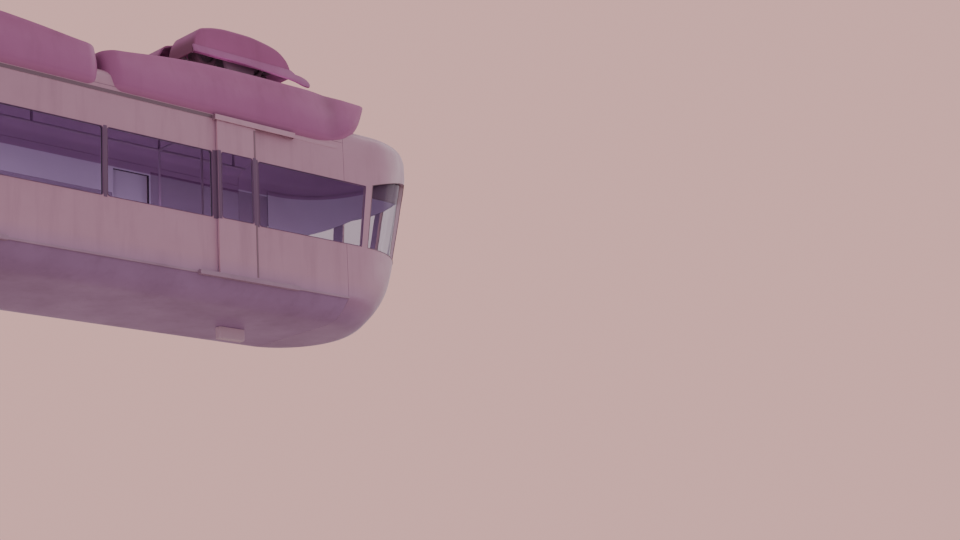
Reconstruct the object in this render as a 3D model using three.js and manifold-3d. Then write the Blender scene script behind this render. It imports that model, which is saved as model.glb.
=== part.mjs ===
// Suspended monorail car, millimetres, +Z up, +X along the car, -Y the near side.
// The origin is on the running surface of the track, midway between the two bogies,
// and the car hangs below it.
import * as THREE from "three";
import { mergeVertices } from "three/addons/utils/BufferGeometryUtils.js";
import Module from "manifold-3d";

const wasm = await Module();
wasm.setup();

// Driving heights
const SILL_Z = -3200;
const WINDOW_LOW = SILL_Z + 750;
const WINDOW_HIGH = SILL_Z + 1650;
const WALL_TOP = SILL_Z + 2200;
const ROOF_TOP = SILL_Z + 2520;
const BELLY_Z = SILL_Z - 300;

// Driving plan sizes
const HALF_WIDTH = 1200;
const WALL = 50;
const SEAM = 4;
const GAP = 0.5;
const NOSE_SEAM_X = 3900;
const ROUNDNESS = 0.96;
const BOGIE_X = 2600;

// Doors
const DOOR_LEFT = 1700;
const DOOR_RIGHT = 2330;
const DOOR_TRAVEL = 620;
const LEAF_INNER_Y = 1212;
const LEAF_THICKNESS = 30;
const LEAF_LOW = SILL_Z - 20;
const LEAF_HIGH = SILL_Z + 2128;

// Running gear
const FLANGE_HALF_WIDTH = 500;
const WHEEL_RADIUS = 190;
const WHEEL_WIDTH = 200;
const GUIDE_RADIUS = 100;
const GUIDE_WIDTH = 90;
const WEB_CLEARANCE = 75;
const RAIL_INNER_Y = FLANGE_HALF_WIDTH + 60;
const RAIL_OUTER_Y = RAIL_INNER_Y + 60;

// Body sections from belly to roof: height above the sill, half length, half width
const BODY_LEVELS = [
  [-300, 4500, 700],
  [-280, 4680, 870],
  [-200, 4820, 1025],
  [-110, 4915, 1115],
  [-10, 5010, HALF_WIDTH],
  [140, 5140, HALF_WIDTH],
  [320, 5255, HALF_WIDTH],
  [600, 5360, HALF_WIDTH],
  [1000, 5460, HALF_WIDTH],
  [1600, 5605, HALF_WIDTH],
  [2240, 5710, HALF_WIDTH],
  [2350, 5670, 1180],
  [2425, 5570, 1105],
  [2475, 5430, 980],
  [2520, 4900, 700],
];

// Roof fairing sections: height above the sill, inner end, outer end, half width,
// inner corner radius, outer corner radius
const FAIRING_LEVELS = [
  [2150, 75, 3860, 1195, 200, 320],
  [2215, 65, 3975, 1240, 200, 300],
  [2320, 55, 4105, 1252, 200, 270],
  [2500, 45, 4270, 1232, 200, 230],
  [2700, 38, 4390, 1165, 200, 190],
  [2960, 30, 4530, 1065, 200, 150],
];

const PAINT = { color: 0xc9b0bb, roughness: 0.45, metalness: 0.0 };
const FAIRING_PAINT = { color: 0xb8708f, roughness: 0.4, metalness: 0.0 };
const DARK_STEEL = { color: 0x4c3d49, roughness: 0.55, metalness: 0.6 };
const DARK_GLASS = { color: 0x2f2436, roughness: 0.1, metalness: 0.0 };
const RUBBER = { color: 0x241f24, roughness: 0.85, metalness: 0.0 };
const MOULDING = { color: 0x8f7f9c, roughness: 0.5, metalness: 0.0 };
const FLOORING = { color: 0x5c5260, roughness: 0.8, metalness: 0.0 };
const BRIGHT_METAL = { color: 0xb8aeb6, roughness: 0.3, metalness: 0.9 };

// Solids and booleans
function solid(geometry) {
  const bare = geometry.clone();
  bare.deleteAttribute("normal");
  bare.deleteAttribute("uv");
  const merged = mergeVertices(bare, 1e-3);
  const vertProperties = new Float32Array(merged.attributes.position.array);
  const triVerts = new Uint32Array(merged.index.array);
  return new wasm.Manifold(new wasm.Mesh({ numProp: 3, vertProperties, triVerts }));
}

function geometryOf(manifold) {
  const mesh = manifold.getMesh();
  const geometry = new THREE.BufferGeometry();
  geometry.setAttribute("position", new THREE.BufferAttribute(new Float32Array(mesh.vertProperties), 3));
  geometry.setIndex(new THREE.BufferAttribute(new Uint32Array(mesh.triVerts), 1));
  geometry.computeVertexNormals();
  return geometry;
}

function block(low, high) {
  const size = high.map((value, axis) => value - low[axis]);
  const geometry = new THREE.BoxGeometry(size[0], size[1], size[2]);
  geometry.translate(low[0] + size[0] / 2, low[1] + size[1] / 2, low[2] + size[2] / 2);
  return solid(geometry);
}

// A round bar along one axis from its start point
function bar(axis, start, length, radius, sides = 20) {
  const geometry = new THREE.CylinderGeometry(radius, radius, length, sides);
  geometry.translate(0, length / 2, 0);
  if (axis === "x") geometry.rotateZ(-Math.PI / 2);
  if (axis === "z") geometry.rotateX(Math.PI / 2);
  geometry.translate(start[0], start[1], start[2]);
  return solid(geometry);
}

// An outline in the X-Z plane carried along Y between two values
function sideCut(points, lowY, highY) {
  const shape = new THREE.Shape(points.map(([x, z]) => new THREE.Vector2(x, z)));
  const geometry = new THREE.ExtrudeGeometry(shape, { depth: highY - lowY, bevelEnabled: false });
  geometry.rotateX(Math.PI / 2);
  geometry.translate(0, highY, 0);
  return solid(geometry);
}

// A window with round corners in the X-Z plane, carried along Y
function windowCut(left, right, low, high, radius, lowY, highY) {
  const shape = new THREE.Shape();
  shape.absarc(right - radius, low + radius, radius, -Math.PI / 2, 0);
  shape.absarc(right - radius, high - radius, radius, 0, Math.PI / 2);
  shape.absarc(left + radius, high - radius, radius, Math.PI / 2, Math.PI);
  shape.absarc(left + radius, low + radius, radius, Math.PI, Math.PI * 1.5);
  const options = { depth: highY - lowY, bevelEnabled: false, curveSegments: 5 };
  const geometry = new THREE.ExtrudeGeometry(shape, options);
  geometry.rotateX(Math.PI / 2);
  geometry.translate(0, highY, 0);
  return solid(geometry);
}

// Plan outline with straight sides and a round corner at each end, counted from +X, -Y
function planOutline(endLow, endHigh, halfWidth, radiusLow, radiusHigh) {
  const steps = 8;
  const corners = [
    [endHigh - radiusHigh, radiusHigh - halfWidth, radiusHigh, -90],
    [endHigh - radiusHigh, halfWidth - radiusHigh, radiusHigh, 0],
    [endLow + radiusLow, halfWidth - radiusLow, radiusLow, 90],
    [endLow + radiusLow, radiusLow - halfWidth, radiusLow, 180],
  ];
  const points = [];
  for (const [centreX, centreY, radius, startDegrees] of corners) {
    for (let step = 0; step <= steps; step += 1) {
      const angle = THREE.MathUtils.degToRad(startDegrees + (90 * step) / steps);
      points.push([centreX + radius * Math.cos(angle), centreY + radius * Math.sin(angle)]);
    }
  }
  return points;
}

// A closed solid through plan outlines at rising heights
function loft(rings) {
  const count = rings[0].points.length;
  const position = [];
  const index = [];
  for (const { z, points } of rings) {
    for (const [x, y] of points) position.push(x, y, z);
  }
  for (let ring = 0; ring < rings.length - 1; ring += 1) {
    for (let side = 0; side < count; side += 1) {
      const next = (side + 1) % count;
      const low = ring * count;
      const high = low + count;
      index.push(low + side, low + next, high + next);
      index.push(low + side, high + next, high + side);
    }
  }
  const lastRing = (rings.length - 1) * count;
  for (const [start, top] of [[0, false], [lastRing, true]]) {
    const { z, points } = rings[top ? rings.length - 1 : 0];
    const middleX = (points[0][0] + points[count / 2][0]) / 2;
    const centre = position.length / 3;
    position.push(middleX, 0, z);
    for (let side = 0; side < count; side += 1) {
      const next = (side + 1) % count;
      if (top) index.push(start + side, start + next, centre);
      else index.push(start + next, start + side, centre);
    }
  }
  const geometry = new THREE.BufferGeometry();
  geometry.setAttribute("position", new THREE.Float32BufferAttribute(position, 3));
  geometry.setIndex(index);
  return solid(geometry);
}

// The body's form, drawn in from its skin by an inset
function bodyForm(inset, floorDrop = 0) {
  const rings = BODY_LEVELS.map(([height, halfLength, halfWidth], level) => {
    const width = halfWidth - inset;
    const radius = width * ROUNDNESS;
    const last = level === BODY_LEVELS.length - 1;
    const rise = level === 0 ? inset + floorDrop : last ? -inset : 0;
    const length = halfLength - inset;
    return { z: SILL_Z + height + rise, points: planOutline(-length, length, width, radius, radius) };
  });
  const lowest = rings[0].z;
  return loft(rings.filter(({ z }, level) => level === 0 || z > lowest + 1));
}

function fairingForm(inset, extra) {
  const last = FAIRING_LEVELS.length - 1;
  const rings = FAIRING_LEVELS.map(([height, inner, outer, halfWidth, radiusIn, radiusOut], level) => {
    const rise = level === 0 ? -extra : level === last ? extra : 0;
    const points = planOutline(
      inner + inset,
      outer - inset,
      halfWidth - inset,
      radiusIn - inset,
      radiusOut - inset,
    );
    return { z: SILL_Z + height + rise, points };
  });
  return loft(rings);
}

const FAR = 9000;
function slab(lowX, highX, lowZ, highZ, lowY = -FAR, highY = FAR) {
  return block([lowX, lowY, lowZ], [highX, highY, highZ]);
}

const car = new THREE.Group();

function addMesh(parent, name, geometry, look) {
  const mesh = new THREE.Mesh(geometry, new THREE.MeshStandardMaterial(look));
  mesh.name = name;
  parent.add(mesh);
  return mesh;
}

// One piece and its copy turned half round about the vertical axis
function addPair(names, manifold, look) {
  const geometry = geometryOf(manifold);
  addMesh(car, names[0], geometry, look);
  addMesh(car, names[1], geometry, look).rotation.z = Math.PI;
}

// Body shell, split where its panels meet
const outerForm = bodyForm(0);
const shell = outerForm.subtract(bodyForm(WALL, 10));
const PANEL_END = NOSE_SEAM_X - SEAM / 2;
const NOSE_START = NOSE_SEAM_X + SEAM / 2;

const CENTRE_WINDOW_END = 1640;
const CENTRE_POST_HALF = 30;
const SIDE_WINDOW_START = 2395;
const SIDE_WINDOW_END = 4303;
const SIDE_WINDOW_LOW_END = 4175;
const SIDE_WINDOW_RADIUS = 35;
const CUT_LOW_Y = -HALF_WIDTH - 100;
const CUT_HIGH_Y = -HALF_WIDTH + 200;
const DOOR_LAP = 15;

// The near side's window openings: left, right
const SIDE_WINDOWS = [
  [-SIDE_WINDOW_END, -SIDE_WINDOW_START],
  [-CENTRE_WINDOW_END, -CENTRE_POST_HALF],
  [CENTRE_POST_HALF, CENTRE_WINDOW_END],
  [SIDE_WINDOW_START, SIDE_WINDOW_END],
];

function sideWindowCut([left, right]) {
  return windowCut(left, right, WINDOW_LOW, WINDOW_HIGH, SIDE_WINDOW_RADIUS, CUT_LOW_Y, CUT_HIGH_Y);
}

function makeSidePanel() {
  let panel = shell.intersect(slab(-PANEL_END, PANEL_END, SILL_Z + SEAM / 2, WALL_TOP, -FAR, 0));
  for (const opening of SIDE_WINDOWS) panel = panel.subtract(sideWindowCut(opening));
  for (const sign of [-1, 1]) {
    const ends = [sign * (DOOR_LEFT + DOOR_LAP), sign * (DOOR_RIGHT - DOOR_LAP)].sort((a, b) => a - b);
    const doorway = block([ends[0], CUT_LOW_Y, SILL_Z - 50], [ends[1], CUT_HIGH_Y, LEAF_HIGH - 60]);
    panel = panel.subtract(doorway);
  }
  return panel;
}
addPair(["side_panel_near", "side_panel_far"], makeSidePanel(), PAINT);
const bellyPan = shell.intersect(slab(-PANEL_END, PANEL_END, BELLY_Z - 50, SILL_Z - SEAM / 2));
addMesh(car, "belly_pan", geometryOf(bellyPan), PAINT);
const roofPanel = shell.intersect(slab(-PANEL_END, PANEL_END, WALL_TOP + SEAM, ROOF_TOP + 50));
addMesh(car, "roof_panel", geometryOf(roofPanel), PAINT);

// Nose mouldings: windscreen opening from the corner pillar round the front, with posts
const SCREEN_REAR_LOW_X = 4282;
const SCREEN_REAR_HIGH_X = 4430;
const SCREEN_TOP_AT_PILLAR = SILL_Z + 1680;
const SCREEN_TOP_AT_FRONT = SILL_Z + 2100;
const SCREEN_FRONT_X = 5900;
// Windscreen posts: turn from straight ahead in degrees, width
const POSTS = [
  [-34.5, 150],
  [0, 120],
  [34.5, 150],
];
const NOSE_CENTRE_X = 4430;
const LAMP_Y = 360;
const LAMP_Z = SILL_Z + 430;
const LAMP_RADIUS = 76;
const LAMP_FACE_X = 5272;
const LAMP_RIM = 14;

function makeNose() {
  let screen = sideCut(
    [
      [SCREEN_REAR_LOW_X, WINDOW_LOW],
      [SCREEN_FRONT_X, WINDOW_LOW],
      [SCREEN_FRONT_X, SCREEN_TOP_AT_FRONT],
      [SCREEN_REAR_HIGH_X, SCREEN_TOP_AT_PILLAR],
    ],
    -FAR / 2,
    FAR / 2,
  );
  for (const [degrees, postWidth] of POSTS) {
    const post = new THREE.BoxGeometry(2000, postWidth, 3000);
    post.translate(1000, 0, (WINDOW_LOW + WINDOW_HIGH) / 2);
    post.rotateZ(THREE.MathUtils.degToRad(degrees));
    post.translate(NOSE_CENTRE_X, 0, 0);
    screen = screen.subtract(solid(post));
  }
  let nose = shell.intersect(slab(NOSE_START, FAR, BELLY_Z - 50, ROOF_TOP + 50));
  nose = nose.subtract(screen);
  const windowRear = NOSE_START - 100;
  const corner = SIDE_WINDOW_RADIUS;
  const windowEnd = sideCut(
    [
      [windowRear, WINDOW_LOW],
      [SIDE_WINDOW_LOW_END - corner, WINDOW_LOW],
      [SIDE_WINDOW_LOW_END, WINDOW_LOW + corner],
      [SIDE_WINDOW_END, WINDOW_HIGH - corner],
      [SIDE_WINDOW_END - corner, WINDOW_HIGH],
      [windowRear, WINDOW_HIGH],
    ],
    CUT_LOW_Y,
    CUT_HIGH_Y,
  );
  nose = nose.subtract(windowEnd).subtract(windowEnd.mirror([0, 1, 0]));
  for (const side of [-1, 1]) {
    const bezel = bar("x", [LAMP_FACE_X - 200, side * LAMP_Y, LAMP_Z], 200, LAMP_RADIUS, 20);
    const recess = bar("x", [LAMP_FACE_X - 20, side * LAMP_Y, LAMP_Z], 100, LAMP_RADIUS - LAMP_RIM, 20);
    nose = nose.add(bezel.subtract(bodyForm(WALL / 2))).subtract(recess);
  }
  return nose;
}
addPair(["nose_front", "nose_rear"], makeNose(), PAINT);

// Glazing: one continuous sheet inside the wall
const GLASS_LAP = 55;
const GLASS_THICKNESS = 8;
const glassSheet = bodyForm(WALL + GAP).subtract(bodyForm(WALL + GAP + GLASS_THICKNESS));
const GLASS_LOW = WINDOW_LOW - GLASS_LAP;
const endGlass = glassSheet.intersect(
  slab(SIDE_WINDOW_START - GLASS_LAP, FAR, GLASS_LOW, SCREEN_TOP_AT_FRONT + 20),
);
addPair(["glazing_front", "glazing_rear"], endGlass, DARK_GLASS);
const centreGlass = glassSheet.intersect(
  slab(
    -CENTRE_WINDOW_END - GLASS_LAP,
    CENTRE_WINDOW_END + GLASS_LAP,
    GLASS_LOW,
    WINDOW_HIGH + GLASS_LAP,
    -FAR,
    0,
  ),
);
addPair(["glazing_centre_near", "glazing_centre_far"], centreGlass, DARK_GLASS);

// Door leaves with their glass, hung outside the wall
const LEAF_FRAME = 55;
const leafMiddleX = (DOOR_LEFT + DOOR_RIGHT) / 2;
const leafMiddleY = LEAF_INNER_Y + LEAF_THICKNESS / 2;
const leafHalf = (DOOR_RIGHT - DOOR_LEFT) / 2;

function makeLeaf() {
  const halfThickness = LEAF_THICKNESS / 2;
  const panel = block([-leafHalf, -halfThickness, LEAF_LOW], [leafHalf, halfThickness, LEAF_HIGH]);
  const opening = leafHalf - LEAF_FRAME;
  return panel.subtract(windowCut(-opening, opening, WINDOW_LOW, WINDOW_HIGH, 40, -50, 50));
}

function makeLeafGlass() {
  const half = leafHalf - LEAF_FRAME - GAP;
  const low = WINDOW_LOW + GAP;
  const high = WINDOW_HIGH - GAP;
  return windowCut(-half, half, low, high, 40, -GLASS_THICKNESS / 2, GLASS_THICKNESS / 2);
}

// Door places: name, direction along the car, side
const DOOR_PLACES = [
  ["front_near", 1, -1],
  ["front_far", 1, 1],
  ["rear_near", -1, -1],
  ["rear_far", -1, 1],
];
const leafGeometry = geometryOf(makeLeaf());
const leafGlassGeometry = geometryOf(makeLeafGlass());
for (const [place, along, side] of DOOR_PLACES) {
  const door = new THREE.Group();
  door.position.set(along * leafMiddleX, side * leafMiddleY, 0);
  addMesh(door, `door_${place}`, leafGeometry, PAINT);
  addMesh(door, `door_glass_${place}`, leafGlassGeometry, DARK_GLASS);
  car.add(door);
}

// Sill rail and overhead rail of the near side, each with its two door channels
const RAIL_END = PANEL_END;
const CHANNEL_OUT = 62;
const CHANNEL_WALL = 4;
const CHANNEL_START = DOOR_LEFT - 320;
const CHANNEL_STOP = DOOR_RIGHT + DOOR_TRAVEL + 50;
const HEADER_START = DOOR_LEFT - 40;
const railFace = -HALF_WIDTH - GAP;
const SLOT_INNER = -LEAF_INNER_Y + 7;
const SLOT_OUTER = -LEAF_INNER_Y - LEAF_THICKNESS - 7;

function spans(start, stop) {
  return [[-stop, -start], [start, stop]];
}

function makeSillRail() {
  let rail = block([-RAIL_END, railFace - 18, SILL_Z - 30], [RAIL_END, railFace, SILL_Z + 1]);
  for (const [left, right] of spans(CHANNEL_START, CHANNEL_STOP)) {
    rail = rail.add(block([left, railFace - CHANNEL_OUT, SILL_Z - 50], [right, railFace, SILL_Z + 8]));
    const slot = block([left + 8, SLOT_OUTER, LEAF_LOW - 8], [right - 8, SLOT_INNER, SILL_Z + 60]);
    rail = rail.subtract(slot);
  }
  return rail;
}
addPair(["sill_rail_near", "sill_rail_far"], makeSillRail(), DARK_STEEL);

function makeOverheadRail() {
  const gutterEnd = 3780;
  let rail = block([-gutterEnd, railFace - 3, SILL_Z + 2096], [gutterEnd, railFace, SILL_Z + 2148]);
  for (const [left, right] of spans(HEADER_START, CHANNEL_STOP)) {
    rail = rail.add(block([left, railFace - CHANNEL_OUT, SILL_Z + 2076], [right, railFace, SILL_Z + 2148]));
    const slot = block([left + 8, SLOT_OUTER, SILL_Z + 2000], [right - 8, SLOT_INNER, LEAF_HIGH + 8]);
    rail = rail.subtract(slot);
  }
  return rail;
}
addPair(["overhead_rail_near", "overhead_rail_far"], makeOverheadRail(), PAINT);

// Roof fairings round the bogies, resting on the roof, with a rim that falls to both ends
const FAIRING_WALL = 45;
// Rim line: distance along the car, height above the sill
const RIM_LINE = [
  [-100, 2695],
  [375, 2745],
  [930, 2822],
  [1400, 2873],
  [1900, 2904],
  [2600, 2916],
  [3400, 2916],
  [4000, 2896],
  [4900, 2858],
];

function makeFairing() {
  const ring = fairingForm(0, 0).subtract(fairingForm(FAIRING_WALL, 50));
  const aboveRim = RIM_LINE.map(([x, height]) => [x, SILL_Z + height]);
  aboveRim.push([4900, SILL_Z + 3300], [-100, SILL_Z + 3300]);
  const roofSeat = bodyForm(-GAP);
  return ring.subtract(sideCut(aboveRim, -FAR / 2, FAR / 2)).subtract(roofSeat);
}
addPair(["fairing_front", "fairing_rear"], makeFairing(), FAIRING_PAINT);

// Floor with the bench plinths, benches and grab rails
const FLOOR_THICKNESS = 45;
const PLINTH_TOP = SILL_Z + 380;
const SEAT_TOP = PLINTH_TOP + 75;
const BACK_TOP = SILL_Z + 730;
const BENCH_END = 1560;
const BENCH_START = 2440;
const AISLE_HALF = 640;

function ringAlongWall(outerInset, innerInset, lowX, highX, lowZ, highZ, lowY, highY) {
  const band = bodyForm(outerInset).subtract(bodyForm(innerInset));
  return band.intersect(slab(lowX, highX, lowZ, highZ, lowY, highY));
}

const FLOOR_HALF_LENGTH = 5100;
const PLINTH_OUTER = 170;
const PLINTH_INNER = 480;

// An upright solid on a plan outline that follows the wall at floor height
function uprightForm(inset, lowZ, highZ) {
  const width = HALF_WIDTH - inset;
  const length = FLOOR_HALF_LENGTH - inset;
  const radius = width * ROUNDNESS;
  const points = planOutline(-length, length, width, radius, radius);
  return loft([{ z: lowZ, points }, { z: highZ, points }]);
}

function makeFloor() {
  let floor = bodyForm(WALL + 25).intersect(slab(-FAR, FAR, SILL_Z - FLOOR_THICKNESS, SILL_Z));
  const outer = uprightForm(PLINTH_OUTER, SILL_Z - 1, PLINTH_TOP);
  const ring = outer.subtract(uprightForm(PLINTH_INNER, SILL_Z - 50, PLINTH_TOP + 50));
  const plinth = (lowX, highX, lowY = -FAR, highY = FAR) =>
    ring.intersect(slab(lowX, highX, SILL_Z - 50, PLINTH_TOP + 50, lowY, highY));
  floor = floor.add(plinth(BENCH_START + 60, FAR)).add(plinth(-FAR, -BENCH_START - 60));
  floor = floor.add(plinth(60 - BENCH_END, BENCH_END - 60, -FAR, 0));
  floor = floor.add(plinth(60 - BENCH_END, BENCH_END - 60, 0, FAR));
  return floor;
}
addMesh(car, "cabin_floor", geometryOf(makeFloor()), FLOORING);

function makeBench(lowX, highX, lowY, highY) {
  const inset = WALL + 25;
  const depth = HALF_WIDTH - AISLE_HALF;
  const seat = ringAlongWall(inset, depth, lowX, highX, PLINTH_TOP + GAP, SEAT_TOP, lowY, highY);
  const back = ringAlongWall(inset, inset + 70, lowX, highX, SEAT_TOP - 1, BACK_TOP, lowY, highY);
  return seat.add(back);
}
addPair(["bench_front", "bench_rear"], makeBench(BENCH_START, FAR, -FAR, FAR), MOULDING);
addPair(["bench_centre_near", "bench_centre_far"], makeBench(-BENCH_END, BENCH_END, -FAR, 0), MOULDING);

const GRAB_Y = 480;
const GRAB_Z = SILL_Z + 2200;
const GRAB_RADIUS = 18;
const GRAB_END = 3500;
const CEILING_Z = ROOF_TOP - WALL - GAP;

function makeGrabRails() {
  let rails = bar("y", [DOOR_LEFT + 315, -GRAB_Y, GRAB_Z], 2 * GRAB_Y, GRAB_RADIUS, 10);
  rails = rails.add(bar("y", [-DOOR_LEFT - 315, -GRAB_Y, GRAB_Z], 2 * GRAB_Y, GRAB_RADIUS, 10));
  for (const side of [-1, 1]) {
    rails = rails.add(bar("x", [-GRAB_END, side * GRAB_Y, GRAB_Z], 2 * GRAB_END, GRAB_RADIUS, 10));
    for (const x of [-3300, -2015, 0, 2015, 3300]) {
      rails = rails.add(bar("z", [x, side * GRAB_Y, GRAB_Z], CEILING_Z - GRAB_Z, GRAB_RADIUS, 10));
    }
    for (const x of [-2015, 2015]) {
      const height = GRAB_Z - SILL_Z - GAP;
      rails = rails.add(bar("z", [x, side * GRAB_Y, SILL_Z + GAP], height, GRAB_RADIUS, 10));
    }
  }
  return rails;
}
addMesh(car, "grab_rails", geometryOf(makeGrabRails()), BRIGHT_METAL);

// Equipment box under the belly
const underfloorBox = block([2660, 50, BELLY_Z - 165], [3080, 150, BELLY_Z - GAP]);
addMesh(car, "underfloor_box", geometryOf(underfloorBox), PAINT);

// Roof bolster with the hanger pin that the bogie turns on
const PIN_RADIUS = 55;
const CAP_RADIUS = 140;
const CAP_TOP = -125;
const CAP_THICKNESS = 40;
const BOLSTER_TOP = ROOF_TOP + 110;

function makeBolster() {
  const beam = block([-190, -640, ROOF_TOP + GAP], [190, 640, BOLSTER_TOP]);
  const pin = bar("z", [0, 0, BOLSTER_TOP - 5], CAP_TOP - BOLSTER_TOP, PIN_RADIUS, 24);
  const cap = bar("z", [0, 0, CAP_TOP - CAP_THICKNESS], CAP_THICKNESS, CAP_RADIUS, 32);
  const plinth = bar("z", [0, 0, BOLSTER_TOP - 5], 45, 150, 32);
  return beam.add(pin).add(cap).add(plinth);
}

// Bogie frame: cross beam under the flange, hangers past its edges, side rails above it
const CROSS_LOW = -410;
const CROSS_HIGH = -285;
const SIDE_RAIL_LOW = 75;
const SIDE_RAIL_HIGH = 175;
const RAIL_HALF_LENGTH = 765;
const WHEEL_X = 400;
const WHEEL_Y = 295;
const GUIDE_X = 705;
const GUIDE_Y = WEB_CLEARANCE + GUIDE_RADIUS;
const GUIDE_Z = 105;
const STUB_RADIUS = 32;
const GUIDE_PIN_RADIUS = 24;
const ARM_LOW = GUIDE_Z + GUIDE_WIDTH / 2 + 12;
const ARM_HALF = 45;
const ARM_THICKNESS = 30;
const ARM_OVERHANG = 60;
const BRACKET_X = 600;
const BRACKET_HALF = 45;

function makeBogieFrame() {
  let frame = block([-170, -RAIL_OUTER_Y, CROSS_LOW], [170, RAIL_OUTER_Y, CROSS_HIGH]);
  frame = frame.add(bar("z", [0, 0, CROSS_HIGH - 5], CAP_TOP - CAP_THICKNESS - 5 - CROSS_HIGH, 125, 32));
  for (const side of [-1, 1]) {
    const [lowY, highY] = [side * RAIL_INNER_Y, side * RAIL_OUTER_Y].sort((a, b) => a - b);
    frame = frame.add(block([-RAIL_HALF_LENGTH, lowY, SIDE_RAIL_LOW], [RAIL_HALF_LENGTH, highY, SIDE_RAIL_HIGH]));
    const hanger = sideCut(
      [
        [-170, CROSS_LOW],
        [170, CROSS_LOW],
        [170, CROSS_HIGH],
        [260, SIDE_RAIL_LOW],
        [260, SIDE_RAIL_HIGH],
        [-260, SIDE_RAIL_HIGH],
        [-260, SIDE_RAIL_LOW],
        [-170, CROSS_HIGH],
      ],
      lowY,
      highY,
    );
    frame = frame.add(hanger);
    for (const end of [-1, 1]) {
      const [bossStart, bossStop] = [end * WHEEL_X - 55, end * WHEEL_X + 55];
      frame = frame.add(block([bossStart, lowY, SIDE_RAIL_LOW + 5], [bossStop, highY, WHEEL_RADIUS + 55]));
      const stubStart = side > 0 ? WHEEL_Y - WHEEL_WIDTH / 2 - 5 : -RAIL_INNER_Y - 5;
      const stubLength = RAIL_INNER_Y + 10 - WHEEL_Y + WHEEL_WIDTH / 2;
      frame = frame.add(bar("y", [end * WHEEL_X, stubStart, WHEEL_RADIUS], stubLength, STUB_RADIUS));
      const armEnds = [side * (GUIDE_Y - ARM_OVERHANG), side * RAIL_OUTER_Y].sort((a, b) => a - b);
      const armLow = [end * GUIDE_X - ARM_HALF, armEnds[0], ARM_LOW];
      const armHigh = [end * GUIDE_X + ARM_HALF, armEnds[1], ARM_LOW + ARM_THICKNESS];
      frame = frame.add(block(armLow, armHigh));
      const pinStart = [end * GUIDE_X, side * GUIDE_Y, GUIDE_Z - GUIDE_WIDTH / 2 - 5];
      frame = frame.add(bar("z", pinStart, GUIDE_WIDTH + 22, GUIDE_PIN_RADIUS, 16));
      const hoodFace = HOOD_OUTER_Y - HOOD_WALL - GAP;
      const bracketEnds = [side * (RAIL_OUTER_Y - 5), side * hoodFace].sort((a, b) => a - b);
      const bracketLow = [end * BRACKET_X - BRACKET_HALF, bracketEnds[0], SIDE_RAIL_LOW + 10];
      const bracketHigh = [end * BRACKET_X + BRACKET_HALF, bracketEnds[1], SIDE_RAIL_HIGH - 10];
      frame = frame.add(block(bracketLow, bracketHigh));
    }
  }
  return frame.subtract(bar("z", [0, 0, CROSS_LOW - 50], 600, PIN_RADIUS + 7, 24));
}

// Wheel hood beside the track web, open below and towards the web, with a flared skirt
const HOOD_LOW = 22;
const HOOD_HALF_LENGTH = 850;
const HOOD_TOP = 485;
const HOOD_INNER_Y = 150;
const HOOD_OUTER_Y = 680;
const HOOD_WALL = 22;
const SKIRT_MIDDLE_Y = 740;
const SKIRT_TILT = -24;
const SKIRT_THICKNESS = 26;

// The hood's side view from its inner foot over the top, then to its outer foot
const HOOD_LINE = [
  [-HOOD_HALF_LENGTH, 105],
  [-765, 330],
  [-720, 385],
  [-570, 440],
  [-330, 480],
  [-80, HOOD_TOP],
  [170, 480],
  [330, 458],
  [500, 427],
  [620, 390],
  [740, 310],
  [800, 240],
  [835, 160],
  [HOOD_HALF_LENGTH, 105],
];

// The skirt's side view, with a toe that runs out past the hood and drops
const SKIRT_LINE = [
  [-870, 5],
  [-100, 12],
  [500, -30],
  [850, -62],
  [1010, -108],
  [1090, -98],
  [1112, -45],
  [1080, 15],
  [1000, 55],
  [880, 60],
  [835, 130],
  [-850, 130],
];

function hoodForm(inset, lowZ, lowY, highY) {
  const alongX = 1 - inset / HOOD_HALF_LENGTH;
  const alongZ = 1 - inset / HOOD_TOP;
  const points = HOOD_LINE.map(([x, z]) => [x * alongX, z * alongZ]).reverse();
  points.push([-HOOD_HALF_LENGTH * alongX, lowZ], [HOOD_HALF_LENGTH * alongX, lowZ]);
  return sideCut(points, lowY, highY);
}

function makeHood() {
  let hood = hoodForm(0, HOOD_LOW, -HOOD_OUTER_Y, -HOOD_INNER_Y);
  const chamfer = new THREE.BoxGeometry(3000, 200, 200);
  chamfer.rotateX(Math.PI / 4);
  chamfer.translate(0, -HOOD_OUTER_Y - 60, HOOD_TOP + 60);
  hood = hood.subtract(solid(chamfer));
  const sheet = new THREE.BoxGeometry(3000, SKIRT_THICKNESS, 500);
  sheet.rotateX(THREE.MathUtils.degToRad(SKIRT_TILT));
  sheet.translate(0, -SKIRT_MIDDLE_Y, 0);
  hood = hood.add(sideCut(SKIRT_LINE, -FAR, 15 - HOOD_OUTER_Y).intersect(solid(sheet)));
  return hood.subtract(hoodForm(HOOD_WALL, HOOD_LOW - 50, -HOOD_OUTER_Y + HOOD_WALL, 0));
}

function tyre(radius, width, bore, shoulder) {
  const half = width / 2;
  const profile = [
    [bore, -half],
    [radius - shoulder, -half],
    [radius, -half + shoulder],
    [radius, half - shoulder],
    [radius - shoulder, half],
    [bore, half],
    [bore, -half],
  ];
  return new THREE.LatheGeometry(profile.map(([x, y]) => new THREE.Vector2(x, y)), 24);
}

const bolster = geometryOf(makeBolster());
const bogieFrame = geometryOf(makeBogieFrame());
const hood = geometryOf(makeHood());
const motor = geometryOf(block([-195, -RAIL_INNER_Y + GAP, 40], [195, -200, 400]));
const loadWheel = geometryOf(solid(tyre(WHEEL_RADIUS, WHEEL_WIDTH, STUB_RADIUS + 3, 45)));
const guideWheel = geometryOf(solid(tyre(GUIDE_RADIUS, GUIDE_WIDTH, GUIDE_PIN_RADIUS + 3, 20)));

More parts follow.
